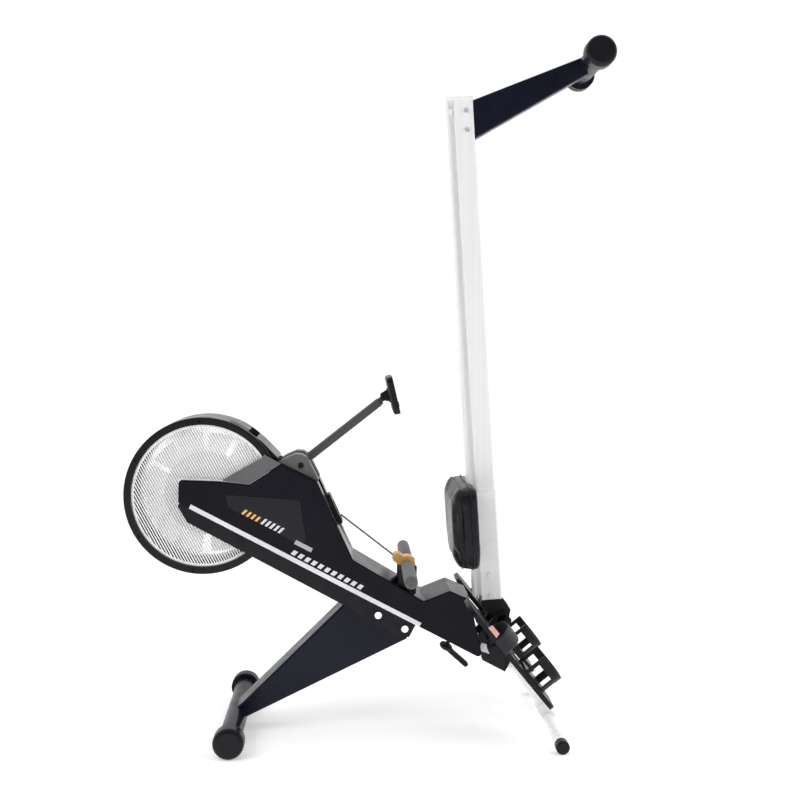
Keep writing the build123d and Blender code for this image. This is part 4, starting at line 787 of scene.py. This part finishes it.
class ROWER_OT_grips(bpy.types.Operator):
    """The two foam grips of the handle"""
    bl_idname = "rower.grips"
    bl_label = "Foam grips"

    def execute(self, context):
        crown = context.scene.rower_grip.crown
        low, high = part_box("handle_grips")
        bar_low, bar_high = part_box("handle_bar")
        centre = np.array([(low.x + high.x) / 2, 0.0, (low.z + high.z) / 2])
        bar = (bar_high.x - bar_low.x) / 2
        long, radius = GRIP_LONG, (high.x - low.x) / 2 - crown
        for side, name in SIDES:
            grip = self.grip(f"grip_{name}", centre, high.y - long, high.y, bar, radius, crown, side)
            wear(grip, finish("grip_foam"))
            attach(grip, "handle")
            if side < 0:
                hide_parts("handle_grips")
        return {"FINISHED"}

    def grip(self, name, centre, inner, outer, bar, radius, crown, side):
        """A turned form: radius as a function of the place along the bar, rounded at both ends and
        crowned by a half sine between them, with one low ring near each end."""
        curve = 0.008
        at = np.linspace(inner + curve, outer - curve, 40)
        body = radius + crown * np.sin((at - at[0]) / (at[-1] - at[0]) * math.pi)
        rings = (np.exp(-((at - inner - 0.014) / 0.0016) ** 2)
                 + np.exp(-((at - outer + 0.014) / 0.0016) ** 2))
        body = body - 0.0009 * rings
        start = arc((inner + curve, radius - curve), curve, 180, 95, 8)
        stop = arc((outer - curve, radius - curve), curve, 85, 0, 8)
        places = np.r_[inner, start[:, 0], at, stop[:, 0], outer - 0.0004, outer - 0.0014]
        radii = np.r_[bar, start[:, 1], body, stop[:, 1], radius * 0.35, 0.0]
        turn = np.linspace(0, 2 * math.pi, 49)[:-1]
        x = centre[0] + radii[:, None] * np.cos(turn)
        z = centre[2] + radii[:, None] * np.sin(turn)
        y = np.broadcast_to(side * places[:, None], x.shape)
        return skin(name, np.stack([x, y, z], -1), wrap_cols=True, sharp=60.0)


class ROWER_OT_foot_straps(bpy.types.Operator):
    """The webbing over each foot plate, and the stitched tab ahead of it"""
    bl_idname = "rower.foot_straps"
    bl_label = "Foot straps"

    def execute(self, context):
        for side, name in SIDES:
            low, high = corners_in(f"{name}_foot_strap", PEDAL_ORIGIN, SOLE_AXES)
            strap = self.strap(f"foot_strap_{name}", low, high)
            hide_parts(f"{name}_foot_strap")
            for piece in (strap, self.patch(f"strap_patch_{name}", low, high, side)):
                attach(piece, f"{name}_foot")
        return {"FINISHED"}

    def arch(self, low, high, lift, steps):
        """Points across the foot: y from a half width times the cosine and height from the sine,
        each to the power 0.8, which squares the arch a little."""
        half, middle = (high[1] - low[1]) / 2 + lift, (low[1] + high[1]) / 2
        base, top = low[0] + 0.002, high[0] + lift
        t = np.radians(np.linspace(180, 0, steps))
        y = middle + half * np.sign(np.cos(t)) * np.abs(np.cos(t)) ** 0.8
        out = base + (top - base) * np.abs(np.sin(t)) ** 0.8
        return y, out

    def strap(self, name, low, high):
        """A band: the arch's points carried across the strap's width, with a slow ripple of its
        edges, then given its thickness."""
        grid = steps, lanes = 60, 9
        y, out = self.arch(low, high, -0.0022, steps)
        wide = np.linspace(low[2], high[2], lanes)
        edge = np.linspace(-1, 1, lanes)[None] ** 2
        ripple = 0.0012 * np.sin(np.linspace(0, 9.0, steps))[:, None] * edge
        local = np.stack([np.broadcast_to(out[:, None], grid) + ripple,
                          np.broadcast_to(y[:, None], grid),
                          np.broadcast_to(wide[None], grid) + 0.5 * ripple], -1)
        band = skin(name, to_row(local, PEDAL_ORIGIN, SOLE_AXES), size=(0.19, high[2] - low[2]))
        thick = band.modifiers.new("thickness", "SOLIDIFY")
        thick.thickness, thick.offset = 0.0018, 0.0
        wear(band, finish("webbing"))
        return band

    def patch(self, name, low, high, side):
        """The stitched tab on the outer edge of the sole, ahead of the strap: one upright tile."""
        near, far = high[2] + 0.006, high[2] + 0.038
        foot, tall, thick = low[0] + 0.011, 0.012, 0.0016
        corners = [(foot, near), (foot, far), (foot + tall, far - 0.002), (foot + tall, near + 0.003)]
        outer = max(abs(low[1]), abs(high[1])) - 0.0034
        grid = [[(out, side * (outer + lift), along) for out, along in corners] for lift in (0, thick)]
        tab = merged(name, to_row(np.array([grid]), PEDAL_ORIGIN, SOLE_AXES))
        wear(tab, moulded("strap tab", (0.68, 0.39, 0.34), 0.7, 1500.0, 0.00012))
        return tab


class ROWER_OT_marks(bpy.types.Operator):
    """Plain slanted marks and blank labels on the casing, the same on both sides"""
    bl_idname = "rower.marks"
    bl_label = "Marks and labels"

    def execute(self, context):
        accent = tuple(context.scene.rower_colours.accent)
        white = painted("mark white", (0.82, 0.82, 0.84), 0.3)
        plate = painted("label silver", (0.5, 0.5, 0.52), 0.34)
        orange = painted("mark orange", accent, 0.3)
        # the edge strips take the grille silver with its painted glow
        edge = finish("grille_silver")
        rows = ((self.bars((-0.312, 0.568), 0.050, 0.0145, 4, 0.5), orange, WINDOW_FACE, "window_bars"),
                (self.bars((-0.2645, 0.5432), 0.060, 0.0165, 5, 0.5), white, WINDOW_FACE, "window_marks"),
                (self.bars((-0.190, 0.4662), 0.205, 0.0125, 11, 0.6), white, COVER_FACE, "cover_marks"),
                (self.tile((-0.176, 0.501), (-0.134, 0.479), 0.011), plate, COVER_FACE, "cover_plate"),
                (self.tile((0.296, 0.2225), (0.3255, 0.2115), 0.021), white, CHANNEL_FACE, "blank_label"),
                (self.tile((-0.4655, 0.6565), (-0.368, 0.6525), 0.0028), edge, CAGE_FACE, "edge_front"),
                (self.tile((-0.368, 0.6525), (-0.2925, 0.6436), 0.0028), edge, CAGE_FACE, "edge_top"),
                (self.tile((-0.4698, 0.592), (-0.4665, 0.655), 0.0028), edge, CAGE_FACE, "edge_nose"))
        for quads, made, level, label in rows:
            for side, name in SIDES:
                grid = np.empty((len(quads), 2, 4, 3))
                grid[..., 0], grid[..., 2] = quads[:, None, :, 0], quads[:, None, :, 1]
                grid[..., 1] = side * (level + np.array(MARK_FACES))[None, :, None]
                piece = merged(f"{label}_{name}", grid)
                wear(piece, made)
                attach(piece, "frame")
        return {"FINISHED"}

    def tile(self, start, stop, tall):
        """A four-cornered outline: from start to stop, and down from that line by the height."""
        start, stop = np.array(start), np.array(stop)
        run = (stop - start) / np.linalg.norm(stop - start)
        down = np.array([run[1], -run[0]]) * tall
        return np.array([[start, stop, stop + down, start + down]])

    def bars(self, start, long, tall, count, filled):
        """A row of slanted bars down the casing's slope: bar k starts at k pitches, and its top leans
        on by a third of its height."""
        run = np.array([math.cos(CASING_SLOPE), -math.sin(CASING_SLOPE)])
        rise = np.array([math.sin(CASING_SLOPE), math.cos(CASING_SLOPE)])
        pitch = long / count
        at = np.arange(count)[:, None] * pitch
        near, far = at * run, (at + filled * pitch) * run
        top = tall * (rise + run / 3)
        return np.array(start) + np.stack([near, far, far + top, near + top], 1)


class ROWER_OT_finishes(bpy.types.Operator):
    """A finish on every piece that the CAD frame shows"""
    bl_idname = "rower.finishes"
    bl_label = "Finishes of the frame"

    def execute(self, context):
        slots = {part["node"]: part["material_slot"] for part in frame["record"]["subparts"]}
        for node, thing in frame["nodes"].items():
            wear(thing, finish(slots[node]))
        return {"FINISHED"}


class ROWER_PT_panel(bpy.types.Panel):
    """Lists the operators and the sizes and colours"""
    bl_idname = "ROWER_PT_panel"
    bl_label = "Rowing Machine"
    bl_space_type = "VIEW_3D"
    bl_region_type = "UI"
    bl_category = "Rowing Machine"

    def draw(self, context):
        for kind in OPERATORS:
            self.layout.operator(kind.bl_idname)
        for name in GROUPS:
            group = getattr(context.scene, name)
            box = self.layout.box()
            for key in group.__annotations__:
                box.prop(group, key)


GROUPS = {"rower_grille": RowerGrille, "rower_seat": RowerSeat, "rower_grip": RowerGrip,
          "rower_colours": RowerColours}
OPERATORS = (ROWER_OT_stage, ROWER_OT_pull_strap, ROWER_OT_finishes, ROWER_OT_grilles, ROWER_OT_seat,
             ROWER_OT_grips, ROWER_OT_foot_straps, ROWER_OT_marks)


def register():
    for kind in (*GROUPS.values(), *OPERATORS, ROWER_PT_panel):
        bpy.utils.register_class(kind)
    for name, kind in GROUPS.items():
        setattr(bpy.types.Scene, name, bpy.props.PointerProperty(type=kind))


def unregister():
    for name in GROUPS:
        delattr(bpy.types.Scene, name)
    for kind in reversed((*GROUPS.values(), *OPERATORS, ROWER_PT_panel)):
        bpy.utils.unregister_class(kind)


def main():
    """Build everything in order."""
    register()
    bpy.ops.rower.stage()
    bpy.ops.rower.pull_strap()
    bpy.ops.rower.finishes()
    bpy.ops.rower.grilles()
    bpy.ops.rower.seat()
    bpy.ops.rower.grips()
    bpy.ops.rower.foot_straps()
    bpy.ops.rower.marks()


if __name__ == "__main__":
    main()
